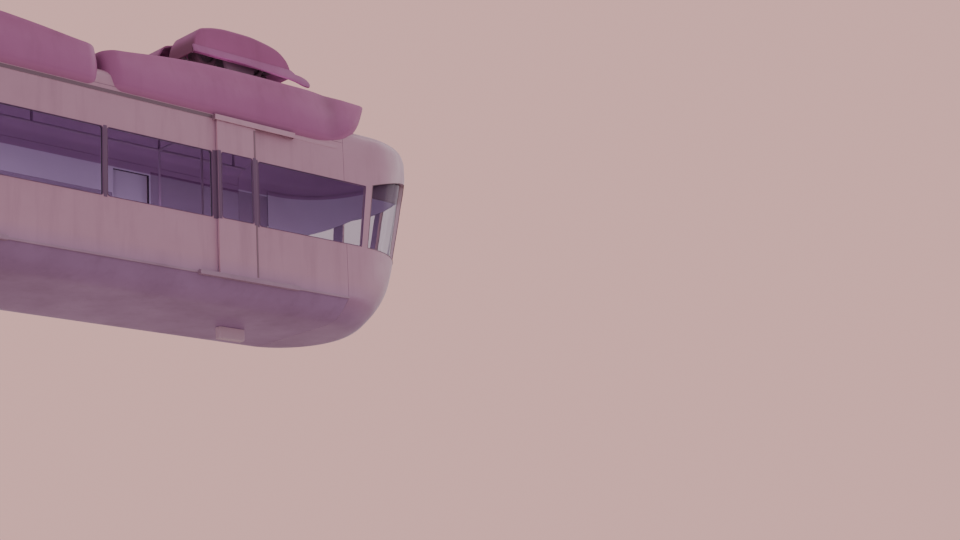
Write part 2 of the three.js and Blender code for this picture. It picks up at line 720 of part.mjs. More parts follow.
// Bogies: name, direction along the car
for (const [place, along] of [["front", 1], ["rear", -1]]) {
  const bogie = new THREE.Group();
  bogie.position.x = along * BOGIE_X;
  if (along < 0) bogie.rotation.z = Math.PI;
  addMesh(bogie, `bolster_${place}`, bolster, DARK_STEEL);
  addMesh(bogie, `bogie_frame_${place}`, bogieFrame, DARK_STEEL);
  addMesh(bogie, `motor_${place}`, motor, DARK_STEEL);
  for (const [side, sign] of [["near", -1], ["far", 1]]) {
    const inCar = along > 0 ? side : side === "near" ? "far" : "near";
    addMesh(bogie, `hood_${place}_${inCar}`, hood, FAIRING_PAINT).scale.y = -sign;
    for (const [end, step] of [["out", 1], ["in", -1]]) {
      const load = addMesh(bogie, `load_wheel_${place}_${inCar}_${end}`, loadWheel, RUBBER);
      load.position.set(step * WHEEL_X, sign * WHEEL_Y, WHEEL_RADIUS);
      const guide = addMesh(bogie, `guide_wheel_${place}_${inCar}_${end}`, guideWheel, RUBBER);
      guide.rotation.x = Math.PI / 2;
      guide.position.set(step * GUIDE_X, sign * GUIDE_Y, GUIDE_Z);
    }
  }
  car.add(bogie);
}

export default car;
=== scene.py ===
import math

import bmesh
import bpy
from mathutils import Matrix, Vector


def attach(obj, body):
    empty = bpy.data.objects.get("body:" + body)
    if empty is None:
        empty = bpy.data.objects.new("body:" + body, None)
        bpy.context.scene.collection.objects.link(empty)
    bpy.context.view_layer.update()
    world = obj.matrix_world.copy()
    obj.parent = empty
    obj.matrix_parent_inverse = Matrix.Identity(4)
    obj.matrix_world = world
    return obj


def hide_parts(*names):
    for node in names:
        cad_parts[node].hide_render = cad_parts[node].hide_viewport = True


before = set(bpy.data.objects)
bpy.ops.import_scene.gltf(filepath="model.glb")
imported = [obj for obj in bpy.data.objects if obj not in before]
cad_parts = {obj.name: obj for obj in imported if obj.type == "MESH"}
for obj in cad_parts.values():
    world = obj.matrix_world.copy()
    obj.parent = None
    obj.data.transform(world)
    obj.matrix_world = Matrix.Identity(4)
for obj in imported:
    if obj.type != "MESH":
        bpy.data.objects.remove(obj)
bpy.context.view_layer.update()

# Camera: it stands on the floor, six metres below the car and off its near rear corner, and
# looks up along the near side to the round front nose through a long lens.
CAMERA_PLACE = (-12.68, -19.97, -9.59)
CAMERA_LENS = 71.25
CAMERA_TURN = -45.57
CAMERA_RISE = 14.92
CAMERA_LEAN = -3.42


def turn_about(axis, degrees):
    return Matrix.Rotation(math.radians(degrees), 4, axis)


camera_data = bpy.data.cameras.new("camera")
camera_data.sensor_width = 36
camera_data.lens = CAMERA_LENS
camera_data.clip_end = 500
camera = bpy.data.objects.new("camera", camera_data)
bpy.context.scene.collection.objects.link(camera)
aim = turn_about("Z", CAMERA_TURN) @ turn_about("X", 90 + CAMERA_RISE)
camera.matrix_world = Matrix.Translation(CAMERA_PLACE) @ aim @ turn_about("Z", CAMERA_LEAN)
bpy.context.scene.camera = camera

# Studio: a plain pale floor under the hanging car, a warm pale backdrop, even light all round and
# one broad soft light from the nose's side. Small lights without a lamp fill the cabin and the
# fairings, which the even light hardly reaches.
FLOOR_Z = -9.65
FLOOR_SIZE = 600
FLOOR_COLOUR = (0.60, 0.47, 0.46)
EVEN_LIGHT = (0.84, 0.78, 0.79)
BACKDROP = (0.895, 0.50, 0.47)
SUN_ENERGY = 0.8
SUN_HEADING = (-0.85, 0.1, -0.5)
CABIN_LIGHT_Z = -2.3
BOGIE_LIGHT_Z = -0.25
CABIN_LIGHT = (0.95, 0.80, 1.0)
BOGIE_LIGHT = (1.0, 0.74, 0.90)


def set_up(node, **values):
    """Gives a node's inputs their values, by name in small letters. A colour gets its alpha."""
    sockets = {s.name.lower().replace(" ", "_"): s for s in reversed(node.inputs[:])}
    for name, value in values.items():
        socket = sockets[name]
        socket.default_value = (*value, 1) if socket.type == "RGBA" else value


bpy.ops.object.select_all(action="DESELECT")
bpy.ops.mesh.primitive_plane_add(size=FLOOR_SIZE, location=(0, 0, FLOOR_Z))
studio_floor = bpy.context.active_object
studio_floor.name = "studio_floor"
floor_material = bpy.data.materials.new("studio_floor")
floor_material.use_nodes = True
floor_shader = floor_material.node_tree.nodes["Principled BSDF"]
set_up(floor_shader, base_color=FLOOR_COLOUR, roughness=0.9)
studio_floor.data.materials.append(floor_material)


def by_ray(tree, ray, usual, special, output):
    """Joins the usual shader to the output, and a special one for one kind of ray."""
    nodes, links = tree.nodes, tree.links
    choose = nodes.new("ShaderNodeMixShader")
    links.new(nodes.new("ShaderNodeLightPath").outputs[ray], choose.inputs[0])
    links.new(usual.outputs[0], choose.inputs[1])
    links.new(special.outputs[0], choose.inputs[2])
    links.new(choose.outputs[0], nodes[output].inputs["Surface"])


surround = bpy.data.worlds.new("surround")
surround.use_nodes = True
even_light = surround.node_tree.nodes["Background"]
set_up(even_light, color=EVEN_LIGHT, strength=1.0)
backdrop = surround.node_tree.nodes.new("ShaderNodeBackground")
set_up(backdrop, color=BACKDROP)
by_ray(surround.node_tree, "Is Camera Ray", even_light, backdrop, "World Output")
bpy.context.scene.world = surround

bpy.ops.object.light_add(type="SUN")
soft_light = bpy.context.active_object
soft_light.name = "soft_light"
soft_light.data.energy = SUN_ENERGY
soft_light.data.angle = math.radians(40)
soft_light.data.color = (1.0, 0.96, 0.93)
soft_light.rotation_mode = "QUATERNION"
soft_light.rotation_quaternion = Vector(SUN_HEADING).to_track_quat("-Z", "Y")


def fill_light(name, place, energy, size, colour, unseen_by):
    """A small light that shows in no mirror image, nor to the kind of ray that is named."""
    bpy.ops.object.light_add(type="POINT", location=place)
    light = bpy.context.active_object
    light.name = name
    light.data.energy = energy
    light.data.shadow_soft_size = size
    light.data.color = colour
    light.visible_glossy = False
    setattr(light, unseen_by, False)


for x in range(-4, 5, 2):
    place = (x, 0, CABIN_LIGHT_Z)
    fill_light("cabin_light", place, 31, 0.3, CABIN_LIGHT, "visible_transmission")
for x in (-3.2, -2.2, 2.2, 3.2):
    for y in (-0.85, 0.85):
        place = (x, y, BOGIE_LIGHT_Z)
        fill_light("bogie_light", place, 4, 0.25, BOGIE_LIGHT, "visible_camera")

# Body form: the plain outer skin from the middle of the car to one nose, laid up in a mould.
# It's raised section by section from the belly to the roof, and every body panel is cut from it.
# A section gives its height above the sill, its half length and its half width.
SILL = -3.2
SECTIONS = [
    (-0.300, 4.500, 0.700),
    (-0.280, 4.680, 0.870),
    (-0.200, 4.820, 1.025),
    (-0.110, 4.915, 1.115),
    (-0.010, 5.010, 1.200),
    (0.140, 5.140, 1.200),
    (0.320, 5.255, 1.200),
    (0.600, 5.360, 1.200),
    (1.000, 5.460, 1.200),
    (1.600, 5.605, 1.200),
    (2.240, 5.710, 1.200),
    (2.350, 5.670, 1.180),
    (2.425, 5.570, 1.105),
    (2.475, 5.430, 0.980),
    (2.520, 4.900, 0.700),
]
NOSE_ROUND = 0.96
HALF_LENGTH = 5.71
HALF_WIDTH = 1.2
HAIR = 1e-4


def smooth_rows(rows, steps):
    """More rows between the given ones, on a smooth curve through all of them."""
    points = [Vector(row) for row in rows]
    spans = [(b - a).length for a, b in zip(points, points[1:])]
    slopes = [(b - a) / span for a, b, span in zip(points, points[1:], spans)]
    leans = [slopes[0]]
    for at in range(1, len(points) - 1):
        before, after = spans[at - 1], spans[at]
        leans.append((slopes[at] * before + slopes[at - 1] * after) / (before + after))
    leans.append(slopes[-1])
    made = []
    for at, span in enumerate(spans):
        for step in range(steps):
            t = step / steps
            start = points[at] * (2 * t**3 - 3 * t**2 + 1)
            start += leans[at] * span * (t**3 - 2 * t**2 + t)
            stop = points[at + 1] * (3 * t**2 - 2 * t**3)
            stop += leans[at + 1] * span * (t**3 - t**2)
            made.append(start + stop)
    return made + [points[-1]]


def hold(*pieces):
    """Selects these pieces and no others, with the first of them active."""
    bpy.ops.object.select_all(action="DESELECT")
    for piece in pieces:
        piece.select_set(True)
    bpy.context.view_layer.objects.active = pieces[0]


def work_on(piece):
    """Opens a piece in edit mode."""
    hold(piece)
    bpy.ops.object.mode_set(mode="EDIT")


def pick(kind, test):
    """In edit mode, selects the vertices, edges or faces that pass a test of their place."""
    bpy.ops.mesh.select_mode(type=kind)
    bpy.ops.mesh.select_all(action="DESELECT")
    mesh = bmesh.from_edit_mesh(bpy.context.edit_object.data)
    for part in {"VERT": mesh.verts, "EDGE": mesh.edges, "FACE": mesh.faces}[kind]:
        if test(part):
            part.select_set(True)
    mesh.select_flush_mode()
    bmesh.update_edit_mesh(bpy.context.edit_object.data)


def pick_all():
    bpy.ops.mesh.select_all(action="SELECT")


def face_outwards():
    """In edit mode, turns every face to the outside."""
    pick_all()
    bpy.ops.mesh.normals_make_consistent(inside=False)


def settle(name=None):
    """Leaves edit mode and sets the active piece's origin on the car's, unturned and unscaled."""
    if bpy.context.mode == "EDIT_MESH":
        bpy.ops.object.mode_set(mode="OBJECT")
    bpy.ops.object.transform_apply(location=True, rotation=True, scale=True)
    piece = bpy.context.active_object
    if name:
        piece.name = name
        piece.data.name = name
    return piece


def start_from(add, name, **sizes):
    """A new piece from one of the plain shapes, at its size and place."""
    bpy.ops.object.select_all(action="DESELECT")
    add(**sizes)
    return settle(name)


sections = [
    (high, min(long, HALF_LENGTH), min(wide, HALF_WIDTH))
    for high, long, wide in smooth_rows(SECTIONS, 3)
]
height, length, width = sections[0]
centre = length - NOSE_ROUND * width
body_form = start_from(
    bpy.ops.mesh.primitive_circle_add,
    "body_form",
    vertices=96,
    radius=NOSE_ROUND * width,
    location=(centre, 0, SILL + height),
)
work_on(body_form)
pick("VERT", lambda v: v.co.x < centre - HAIR)
bpy.ops.mesh.delete(type="VERT")
bpy.ops.mesh.select_mode(type="EDGE")
pick_all()
bpy.ops.transform.resize(value=(1, 1 / NOSE_ROUND, 1), center_override=(centre, 0, SILL + height))
for next_height, next_length, next_width in sections[1:]:
    next_centre = next_length - NOSE_ROUND * next_width
    grow = next_width / width
    move = (next_centre - centre, 0, next_height - height)
    bpy.ops.mesh.extrude_region_move(TRANSFORM_OT_translate={"value": move})
    middle = (next_centre, 0, SILL + next_height)
    bpy.ops.transform.resize(value=(grow, grow, 1), center_override=middle)
    height, width, centre = next_height, next_width, next_centre
pick("EDGE", lambda e: e.is_boundary and abs(e.verts[0].co.z - e.verts[1].co.z) > HAIR)
bpy.ops.mesh.extrude_region_move(TRANSFORM_OT_translate={"value": (0, 0, 0)})
bpy.ops.transform.resize(value=(0, 1, 1), center_override=(0, 0, 0))
roof_z, belly_z = SILL + sections[-1][0], SILL + sections[0][0]
pick("EDGE", lambda e: e.is_boundary and min(v.co.z for v in e.verts) > roof_z - HAIR)
bpy.ops.mesh.edge_face_add()
pick("EDGE", lambda e: e.is_boundary and max(v.co.z for v in e.verts) < belly_z + HAIR)
bpy.ops.mesh.edge_face_add()
face_outwards()
settle()

# Body paint: pale enamel on moulded plastic panels, dulled by weather, with soot that has run
# down from the track and dust where the skin faces up. Where the skin faces down it is darker,
# partly grime and partly painted shade. Below the sill the paint is darker, partly as painted
# shade of the underside, and the inner faces carry the cabin's lining: laminate on the walls,
# vinyl overhead that is darkened as painted shade. Gaps between panels get a painted shadow.
PAINT = (0.485, 0.27, 0.382)
PAINT_GRIME_AND_SHADE = (0.23, 0.11, 0.17)
BELLY_PAINT_AND_SHADE = (0.345, 0.21, 0.405)
ROAD_GRIME = (0.17, 0.09, 0.16)
DUST = (0.46, 0.29, 0.34)
SIDE_LAMINATE = (0.50, 0.45, 0.58)
NOSE_LAMINATE = (0.46, 0.405, 0.53)
CEILING_SHADE = (0.29, 0.175, 0.31)
SHADOW_GAP = (0.03, 0.02, 0.035)
WALL = 0.05


def spread(tree, value, **ends):
    """A value stretched to new ends: from_min, from_max, to_min or to_max."""
    node = tree.nodes.new("ShaderNodeMapRange")
    set_up(node, **ends)
    tree.links.new(value, node.inputs["Value"])
    return node.outputs["Result"]


def weather_group():
    """Blotches, rain streaks, fine grain and masks of what faces up and down."""
    group = bpy.data.node_groups.new("weather", "ShaderNodeTree")
    sockets, nodes, links = group.interface, group.nodes, group.links
    sockets.new_socket("Vector", in_out="INPUT", socket_type="NodeSocketVector")
    for name, value in (("Blotch Scale", 0.9), ("Streak Scale", 5.0), ("Grain Scale", 60.0)):
        socket = sockets.new_socket(name, in_out="INPUT", socket_type="NodeSocketFloat")
        socket.default_value = value
    for name in ("Blotches", "Streaks", "Grain", "Upward", "Downward"):
        sockets.new_socket(name, in_out="OUTPUT", socket_type="NodeSocketFloat")
    given, made = nodes.new("NodeGroupInput"), nodes.new("NodeGroupOutput")
    place = given.outputs["Vector"]
    stretch = nodes.new("ShaderNodeMapping")
    set_up(stretch, scale=(1, 1, 0.12))
    links.new(place, stretch.inputs["Vector"])
    for name, scale, vector, detail, low, high in (
        ("Blotches", "Blotch Scale", place, 6, 0.36, 0.68),
        ("Streaks", "Streak Scale", stretch.outputs["Vector"], 5, 0.5, 0.8),
        ("Grain", "Grain Scale", place, 3, 0.2, 0.8),
    ):
        noise = nodes.new("ShaderNodeTexNoise")
        set_up(noise, detail=detail, roughness=0.6)
        links.new(vector, noise.inputs["Vector"])
        links.new(given.outputs[scale], noise.inputs["Scale"])
        mask = spread(group, noise.outputs["Fac"], from_min=low, from_max=high)
        links.new(mask, made.inputs[name])
    facing = nodes.new("ShaderNodeNewGeometry")
    split = nodes.new("ShaderNodeSeparateXYZ")
    links.new(facing.outputs["Normal"], split.inputs["Vector"])
    for name, low, high in (("Upward", 0.25, 0.95), ("Downward", -0.2, -0.9)):
        mask = spread(group, split.outputs["Z"], from_min=low, from_max=high)
        links.new(mask, made.inputs[name])
    return group


weather = weather_group()


class Finish:
    """A weathered surface: its material, its shader and the nodes that vary it."""

    def __init__(self, name, clean, roughness, **scales):
        self.material = bpy.data.materials.new(name)
        self.material.use_nodes = True
        self.tree = self.material.node_tree
        self.shader = self.tree.nodes["Principled BSDF"]
        self.place = self.node("TexCoord").outputs["Object"]
        self.weather = self.node("Group")
        self.weather.node_tree = weather
        self.feed(self.place, self.weather.inputs["Vector"])
        set_up(self.weather, **scales)
        self.colour = clean
        blotches, (low, high) = self.weather.outputs["Blotches"], roughness
        self.roughness = spread(self.tree, blotches, to_min=low, to_max=high)

    def node(self, kind):
        return self.tree.nodes.new(f"ShaderNode{kind}")

    def feed(self, value, socket):
        """Links a socket to another or to a named mask of the weather, or gives it a value."""
        if isinstance(value, str):
            value = self.weather.outputs[value]
        if isinstance(value, bpy.types.NodeSocket):
            self.tree.links.new(value, socket)
        else:
            socket.default_value = (*value, 1) if isinstance(value, tuple) else value

    def reckon(self, kind, first, second=0):
        """Arithmetic on two values, each a number, a socket or the name of a mask."""
        node = self.node("Math")
        node.operation = kind
        self.feed(first, node.inputs[0])
        self.feed(second, node.inputs[1])
        return node.outputs[0]

    def axis(self, name):
        """One Object coordinate in metres."""
        node = self.node("SeparateXYZ")
        self.feed(self.place, node.inputs["Vector"])
        return node.outputs[name]

    def off_middle(self, name):
        """The distance from the car's middle along one axis."""
        return self.reckon("ABSOLUTE", self.axis(name))

    def step(self, value, start, stop):
        """A mask that goes from 0 at start to 1 at stop."""
        return spread(self.tree, value, from_min=start, from_max=stop)

    def stain(self, mask, colour, strength=1):
        """Lays a colour over the surface where the mask is bright."""
        node = self.node("Mix")
        node.data_type = "RGBA"
        self.feed(self.reckon("MULTIPLY", mask, strength), node.inputs[0])
        self.feed(self.colour, node.inputs[6])
        self.feed(colour, node.inputs[7])
        self.colour = node.outputs[2]
        return self

    def done(self, bump=0.15, depth=0.002, height="Grain", **constants):
        """Joins up the colour, the roughness and a fine relief, and sets the shader's constants."""
        self.feed(self.colour, self.shader.inputs["Base Color"])
        self.feed(self.roughness, self.shader.inputs["Roughness"])
        relief = self.node("Bump")
        set_up(relief, strength=bump, distance=depth)
        self.feed(height, relief.inputs["Height"])
        self.feed(relief.outputs["Normal"], self.shader.inputs["Normal"])
        set_up(self.shader, **constants)
        return self.material


def body_paint(name, inner=None):
    """Pale enamel, darker below the sill as paint and as painted shade.
    A wall with an inner face shows the laminate there, and painted shade overhead.
    """
    finish = Finish(name, PAINT, (0.34, 0.55))
    finish.stain("Blotches", PAINT_GRIME_AND_SHADE, 0.16).stain("Streaks", PAINT_GRIME_AND_SHADE, 0.3)
    # The stain where the skin faces down is partly grime and partly painted shade.
    finish.stain("Upward", DUST, 0.35).stain("Downward", PAINT_GRIME_AND_SHADE, 0.3)
    # Below the sill the darker paint blends in over a wide band, partly as painted shade where the
    # skin turns under.
    below_sill = finish.step(finish.axis("Z"), SILL + 0.22, SILL - 0.26)
    finish.stain(below_sill, BELLY_PAINT_AND_SHADE, 0.95)
    finish.stain(finish.reckon("MULTIPLY", below_sill, "Blotches"), ROAD_GRIME, 0.3)
    if inner:
        across = finish.off_middle("Y")
        finish.stain(finish.step(across, HALF_WIDTH - 0.003, HALF_WIDTH - 0.006), SHADOW_GAP)
        inside = finish.step(across, inner + 0.004, inner + 0.001)
        finish.stain(inside, SIDE_LAMINATE)
        # Overhead the lining is darkened as painted shade.
        overhead = finish.step(finish.axis("Z"), SILL + 2.085, SILL + 2.095)
        finish.stain(finish.reckon("MULTIPLY", inside, overhead), CEILING_SHADE)
    return finish.done(coat_weight=0.1, specular_ior_level=0.35)


def cabin_lining():
    """Laminate on the walls of the noses and cloth-backed vinyl overhead, darkened as painted
    shade.
    """
    finish = Finish("cabin_lining", NOSE_LAMINATE, (0.5, 0.65), grain_scale=140.0)
    finish.stain("Blotches", PAINT_GRIME_AND_SHADE, 0.15)
    # Overhead the lining is darkened as painted shade.
    finish.stain(finish.step(finish.axis("Z"), SILL + 2.145, SILL + 2.155), CEILING_SHADE)
    return finish.done(bump=0.3)


paint = body_paint("body_paint")
panel_paint = body_paint("side_panel_paint", HALF_WIDTH - WALL)
lining = cabin_lining()

# Side panels: one long flat sandwich moulding a side, with the window and door openings cut in it.
# The solids have this shape already, so they only get their paint and their cabin lining.


def shade(piece, *materials):
    """Gives a piece its materials and drops the ones it had."""
    piece.data.materials.clear()
    for material in materials:
        piece.data.materials.append(material)


SIDES = ("near", "far")
for side in SIDES:
    shade(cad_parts[f"side_panel_{side}"], panel_paint)

# Window seals and cover strips: dark rubber pressed into the edge of each opening, and dark
# covers on the posts, so that the windows of a side read as one ribbon.
GLASS_LOW = SILL + 0.75
GLASS_HIGH = SILL + 1.65
CENTRE_WINDOW = (0.03, 1.64)
SIDE_WINDOW_START = 2.395
WINDOW_FRONT = ((4.175, GLASS_LOW), (4.303, GLASS_HIGH))
WINDOW_CORNER = 0.035
SEAL_LAP_IN = 0.007
SEAL_LAP_OUT = 0.014
SEAL_PROUD = 0.006
SEAL_THICKNESS = 0.022
COVER_PROUD = 0.0035
COVER_THICKNESS = 0.0034
POST_COVERS = (("inner", 1.645, 1.714), ("outer", 2.316, 2.391))
MIDDLE_COVER_HALF = 0.026
RUBBER_GRIME = (0.12, 0.07, 0.12)
HALF_TURN = turn_about("Z", 180)
TO_FAR_SIDE = Matrix.Scale(-1, 4, (0, 1, 0))

rubber_finish = Finish("window_rubber", (0.15, 0.075, 0.16), (0.6, 0.8))
rubber = rubber_finish.stain("Streaks", RUBBER_GRIME, 0.5).done(bump=0.3)


def harden(piece, kind, **settings):
    """Puts a modifier on a piece and applies it."""
    bpy.context.view_layer.objects.active = piece
    modifier = piece.modifiers.new(kind.lower(), kind)
    for setting, value in settings.items():
        setattr(modifier, setting, value)
    bpy.ops.object.modifier_apply(modifier=modifier.name)


def ease(piece, width, segments=2, sharper=0.9):
    """Rounds over the edges that turn by more than an angle in radians."""
    angle = {"limit_method": "ANGLE", "angle_limit": sharper}
    harden(piece, "BEVEL", width=width, segments=segments, **angle)


def soften(piece, degrees=32):
    """Smooth shading that breaks at the edges sharper than an angle."""
    hold(piece)
    bpy.ops.object.shade_smooth_by_angle(angle=math.radians(degrees))


def copy_of(piece, name, place=None):
    """A copy of a piece with its own mesh, moved by a matrix."""
    twin = piece.copy()
    twin.data = piece.data.copy()
    twin.name = name
    twin.data.name = name
    bpy.context.scene.collection.objects.link(twin)
    if place:
        twin.data.transform(place)
        if place.determinant() < 0:
            twin.data.flip_normals()
            if twin.data.has_custom_normals:
                bpy.context.view_layer.objects.active = twin
                bpy.ops.mesh.customdata_custom_splitnormals_clear()
                harden(twin, "WEIGHTED_NORMAL", keep_sharp=True)
    return twin


def drawn(name, points, fill="NGON"):
    """A closed outline through points in space, filled with one face or open."""
    circle = bpy.ops.mesh.primitive_circle_add
    outline = start_from(circle, name, vertices=len(points), fill_type=fill)
    for vertex, point in zip(outline.data.vertices, points):
        vertex.co = point
    return outline


def rounded_plate(name, corners, y, radius):
    """In edit mode, a flat plate with round corners in the X-Z plane, facing the near side."""
    plate = drawn(name, [(x, y, z) for x, z in corners])
    work_on(plate)
    face_outwards()
    bpy.ops.mesh.bevel(offset=radius, segments=5, affect="VERTICES")
    mesh = bmesh.from_edit_mesh(plate.data)
    if max(mesh.faces, key=lambda f: f.calc_area()).normal.y > 0:
        pick_all()
        bpy.ops.mesh.flip_normals()


def window_seal(name, corners, out=HALF_WIDTH):
    """A rubber ring round a window opening, half in it and half on the wall."""
    rounded_plate(name, corners, -out - SEAL_PROUD, WINDOW_CORNER)
    pick_all()
    bpy.ops.mesh.inset(thickness=SEAL_LAP_OUT, use_outset=True)
    pick("FACE", lambda f: len(f.verts) > 4)
    bpy.ops.mesh.inset(thickness=SEAL_LAP_IN)
    pick("FACE", lambda f: len(f.verts) > 4)
    bpy.ops.mesh.delete(type="FACE")
    seal = settle()
    shade(seal, rubber)
    harden(seal, "SOLIDIFY", thickness=SEAL_THICKNESS, offset=-1)
    ease(seal, 0.003)
    soften(seal, 50)
    return seal


def box_corners(left, right, low=GLASS_LOW, high=GLASS_HIGH):
    return ((left, low), (right, low), (right, high), (left, high))


def cover_strip(
    name, left, right, out=HALF_WIDTH, low=GLASS_LOW - SEAL_LAP_OUT, high=GLASS_HIGH + SEAL_LAP_OUT
):
    """A thin dark cover with eased edges over a post or along an edge."""
    rounded_plate(name, box_corners(left, right, low, high), -out - COVER_PROUD, 0.004)
    strip = settle()
    shade(strip, rubber)
    harden(strip, "SOLIDIFY", thickness=COVER_THICKNESS, offset=-1)
    ease(strip, 0.001)
    return strip


def four_corners(piece, stem, tail=""):
    """A near front piece and its copies at the car's other three corners, by corner."""
    twins = (("rear_far", HALF_TURN), ("front_far", TO_FAR_SIDE))
    twins += (("rear_near", TO_FAR_SIDE @ HALF_TURN),)
    made = {"front_near": piece}
    for corner, place in twins:
        made[corner] = copy_of(piece, f"{stem}_{corner}{tail}", place)
    piece.name = f"{stem}_front_near{tail}"
    return made.items()


def all_round(piece, stem, body="car"):
    """Rides a near front piece and its copies at the other three corners on their bodies."""
    for corner, twin in four_corners(piece, stem):
        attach(twin, body if body == "car" else f"{body}_{corner}")


def with_twin(piece, name):
    """Rides a piece on the car together with its copy, turned half round."""
    for twin in (piece, copy_of(piece, name, HALF_TURN)):
        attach(twin, "car")


all_round(window_seal("centre_seal", box_corners(*CENTRE_WINDOW)), "centre_window_seal")
side_window = ((SIDE_WINDOW_START, GLASS_LOW), *WINDOW_FRONT, (SIDE_WINDOW_START, GLASS_HIGH))
all_round(window_seal("side_seal", side_window), "side_window_seal")
for post, left, right in POST_COVERS:
    all_round(cover_strip("post_cover", left, right), f"door_post_cover_{post}")
middle_cover = cover_strip("middle_post_cover_near", -MIDDLE_COVER_HALF, MIDDLE_COVER_HALF)
with_twin(middle_cover, "middle_post_cover_far")

# Noses: one round moulding a nose, from the belly to the roof, screwed to the side panels at a
# seam. The windscreen is cut out between its pillars and posts, and the side window ends in it.
# A post gives its turn about the nose's upright axis in degrees and half its width.
NOSE_SEAM = 3.902
SCREEN_CORNER = (4.43, SILL + 1.68)
SCREEN_REAR = ((4.282, GLASS_LOW), SCREEN_CORNER)
SCREEN_TOP = (SCREEN_CORNER, (5.9, SILL + 2.1))
POST_CENTRE = 4.43
SCREEN_POSTS = ((-34.5, 0.075), (0, 0.06), (34.5, 0.075))
SIDE_FACE = 1.0
ENDS = ("front", "rear")
REVEAL_PAINTED_LIGHT = (0.72, 0.52, 0.62)
REVEAL_DARK = (0.22, 0.13, 0.20)


def panel_of_form(name, *cuts):
    """A skin of the body form. Each cut drops what is above a value of one axis, or below it."""
    panel = copy_of(body_form, name)
    work_on(panel)
    for axis, side, value in cuts:
        normal = Vector([side if axis == name else 0 for name in "XYZ"])
        pick_all()
        bpy.ops.mesh.bisect(plane_co=normal * side * value, plane_no=normal, clear_outer=True)
    return settle()


def across_line(line):
    """A point and a normal in the X-Z plane for a plane through a line, across the car."""
    (x0, z0), (x1, z1) = line
    return (x0, 0, z0), Vector((z1 - z0, 0, x0 - x1)).normalized()


def side_of(point, line):
    """How far a point is to the front or under side of a line, seen from the near side."""
    place, normal = across_line(line)
    return (point - Vector(place)).dot(normal)


def post_gap(point, degrees):
    """How far a point is from a post's middle plane, and how far in front of its axis."""
    angle = math.radians(degrees)
    ahead, out = point.x - POST_CENTRE, point.y
    gap = out * math.cos(angle) - ahead * math.sin(angle)
    return gap, ahead * math.cos(angle) + out * math.sin(angle)


def middle_of(face):
    return face.calc_center_median()


def in_screen(face):
    point = middle_of(face)
    if point.z < GLASS_LOW or side_of(point, SCREEN_REAR) < 0 or side_of(point, SCREEN_TOP) < 0:
        return False
    gaps = [(*post_gap(point, degrees), half) for degrees, half in SCREEN_POSTS]
    return all(abs(gap) > half or front < 0 for gap, front, half in gaps)


def in_side_window(face):
    point = middle_of(face)
    level = GLASS_LOW < point.z < GLASS_HIGH
    return level and abs(point.y) > SIDE_FACE and side_of(point, WINDOW_FRONT) < 0


def slice_near_windows(place, normal):
    """In edit mode, cuts new edges across the faces round the windows."""
    pick("FACE", lambda f: SILL + 0.5 < middle_of(f).z < SILL + 2.3)
    bpy.ops.mesh.bisect(plane_co=place, plane_no=normal)


def stands_for(piece, node, body):
    """Rides a piece on a body in place of a solid, which it hides."""
    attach(piece, body)
    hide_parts(node)


def pair_of(piece, stem, places, tail="made", body="car"):
    """Sets a piece and its copy, turned half round, in place of the two solids of a name."""
    twin = copy_of(piece, f"{stem}_{places[1]}_{tail}", HALF_TURN)
    for made, place in zip((piece, twin), places):
        stands_for(made, f"{stem}_{place}", body if body == "car" else f"{body}_{place}")
    return twin


def give_wall(panel, wall, inner_slot=0, rim_slot=0):
    """Thickens a skin inwards by an even wall. Its inner face and its rim have their own slots."""
    slots = {"material_offset": inner_slot, "material_offset_rim": rim_slot}
    harden(panel, "SOLIDIFY", thickness=wall, offset=-1, use_even_offset=True, **slots)


nose_front = panel_of_form("nose_front_moulding", ("X", -1, NOSE_SEAM))
work_on(nose_front)
for level in (GLASS_LOW, GLASS_HIGH):
    slice_near_windows((0, 0, level), (0, 0, 1))
for line in (SCREEN_REAR, SCREEN_TOP, WINDOW_FRONT):
    slice_near_windows(*across_line(line))
for degrees, half in SCREEN_POSTS:
    angle = math.radians(degrees)
    aside = Vector((-math.sin(angle), math.cos(angle), 0))
    for edge in (-half, half):
        slice_near_windows(Vector((POST_CENTRE, 0, 0)) + aside * edge, aside)
pick("FACE", lambda f: in_screen(f) or in_side_window(f))
bpy.ops.mesh.delete(type="FACE")
settle()


def off_screen(edge):
    """An edge inside the skin, or one of its border that isn't round the windscreen."""
    return not edge.is_boundary or min(side_of(v.co, SCREEN_REAR) for v in edge.verts) < -0.01


screen_seal = copy_of(nose_front, "screen_seal_front")
work_on(screen_seal)
pick("EDGE", off_screen)
bpy.ops.mesh.delete(type="EDGE")
# Cuts number points anew in each run, so they are put in order for the cord to start the same.
pick_all()
bpy.ops.mesh.sort_elements(type="CURSOR_DISTANCE", elements={"VERT", "EDGE"})
settle()
bpy.ops.object.convert(target="CURVE")
screen_seal.data.bevel_depth = 0.005
screen_seal.data.bevel_resolution = 2
bpy.ops.object.convert(target="MESH")
settle()
shade(screen_seal, Finish("screen_rubber", (0.20, 0.13, 0.17), (0.6, 0.8)).done(bump=0.3))
soften(screen_seal, 60)
with_twin(screen_seal, "screen_seal_rear")

# The cut rim round the windscreen is pale, as painted light on a rim that lies in shade. It is
# darker where it nears the sides of the car.
reveal = Finish("screen_reveal", REVEAL_PAINTED_LIGHT, (0.5, 0.7)).stain("Blotches", PAINT_GRIME_AND_SHADE, 0.25)
reveal.stain(reveal.step(reveal.off_middle("Y"), 1.12, 1.15), REVEAL_DARK)
shade(nose_front, paint, lining, reveal.done())
give_wall(nose_front, WALL, inner_slot=1, rim_slot=2)
soften(nose_front)
nose_rear = pair_of(nose_front, "nose", ENDS, tail="moulding")

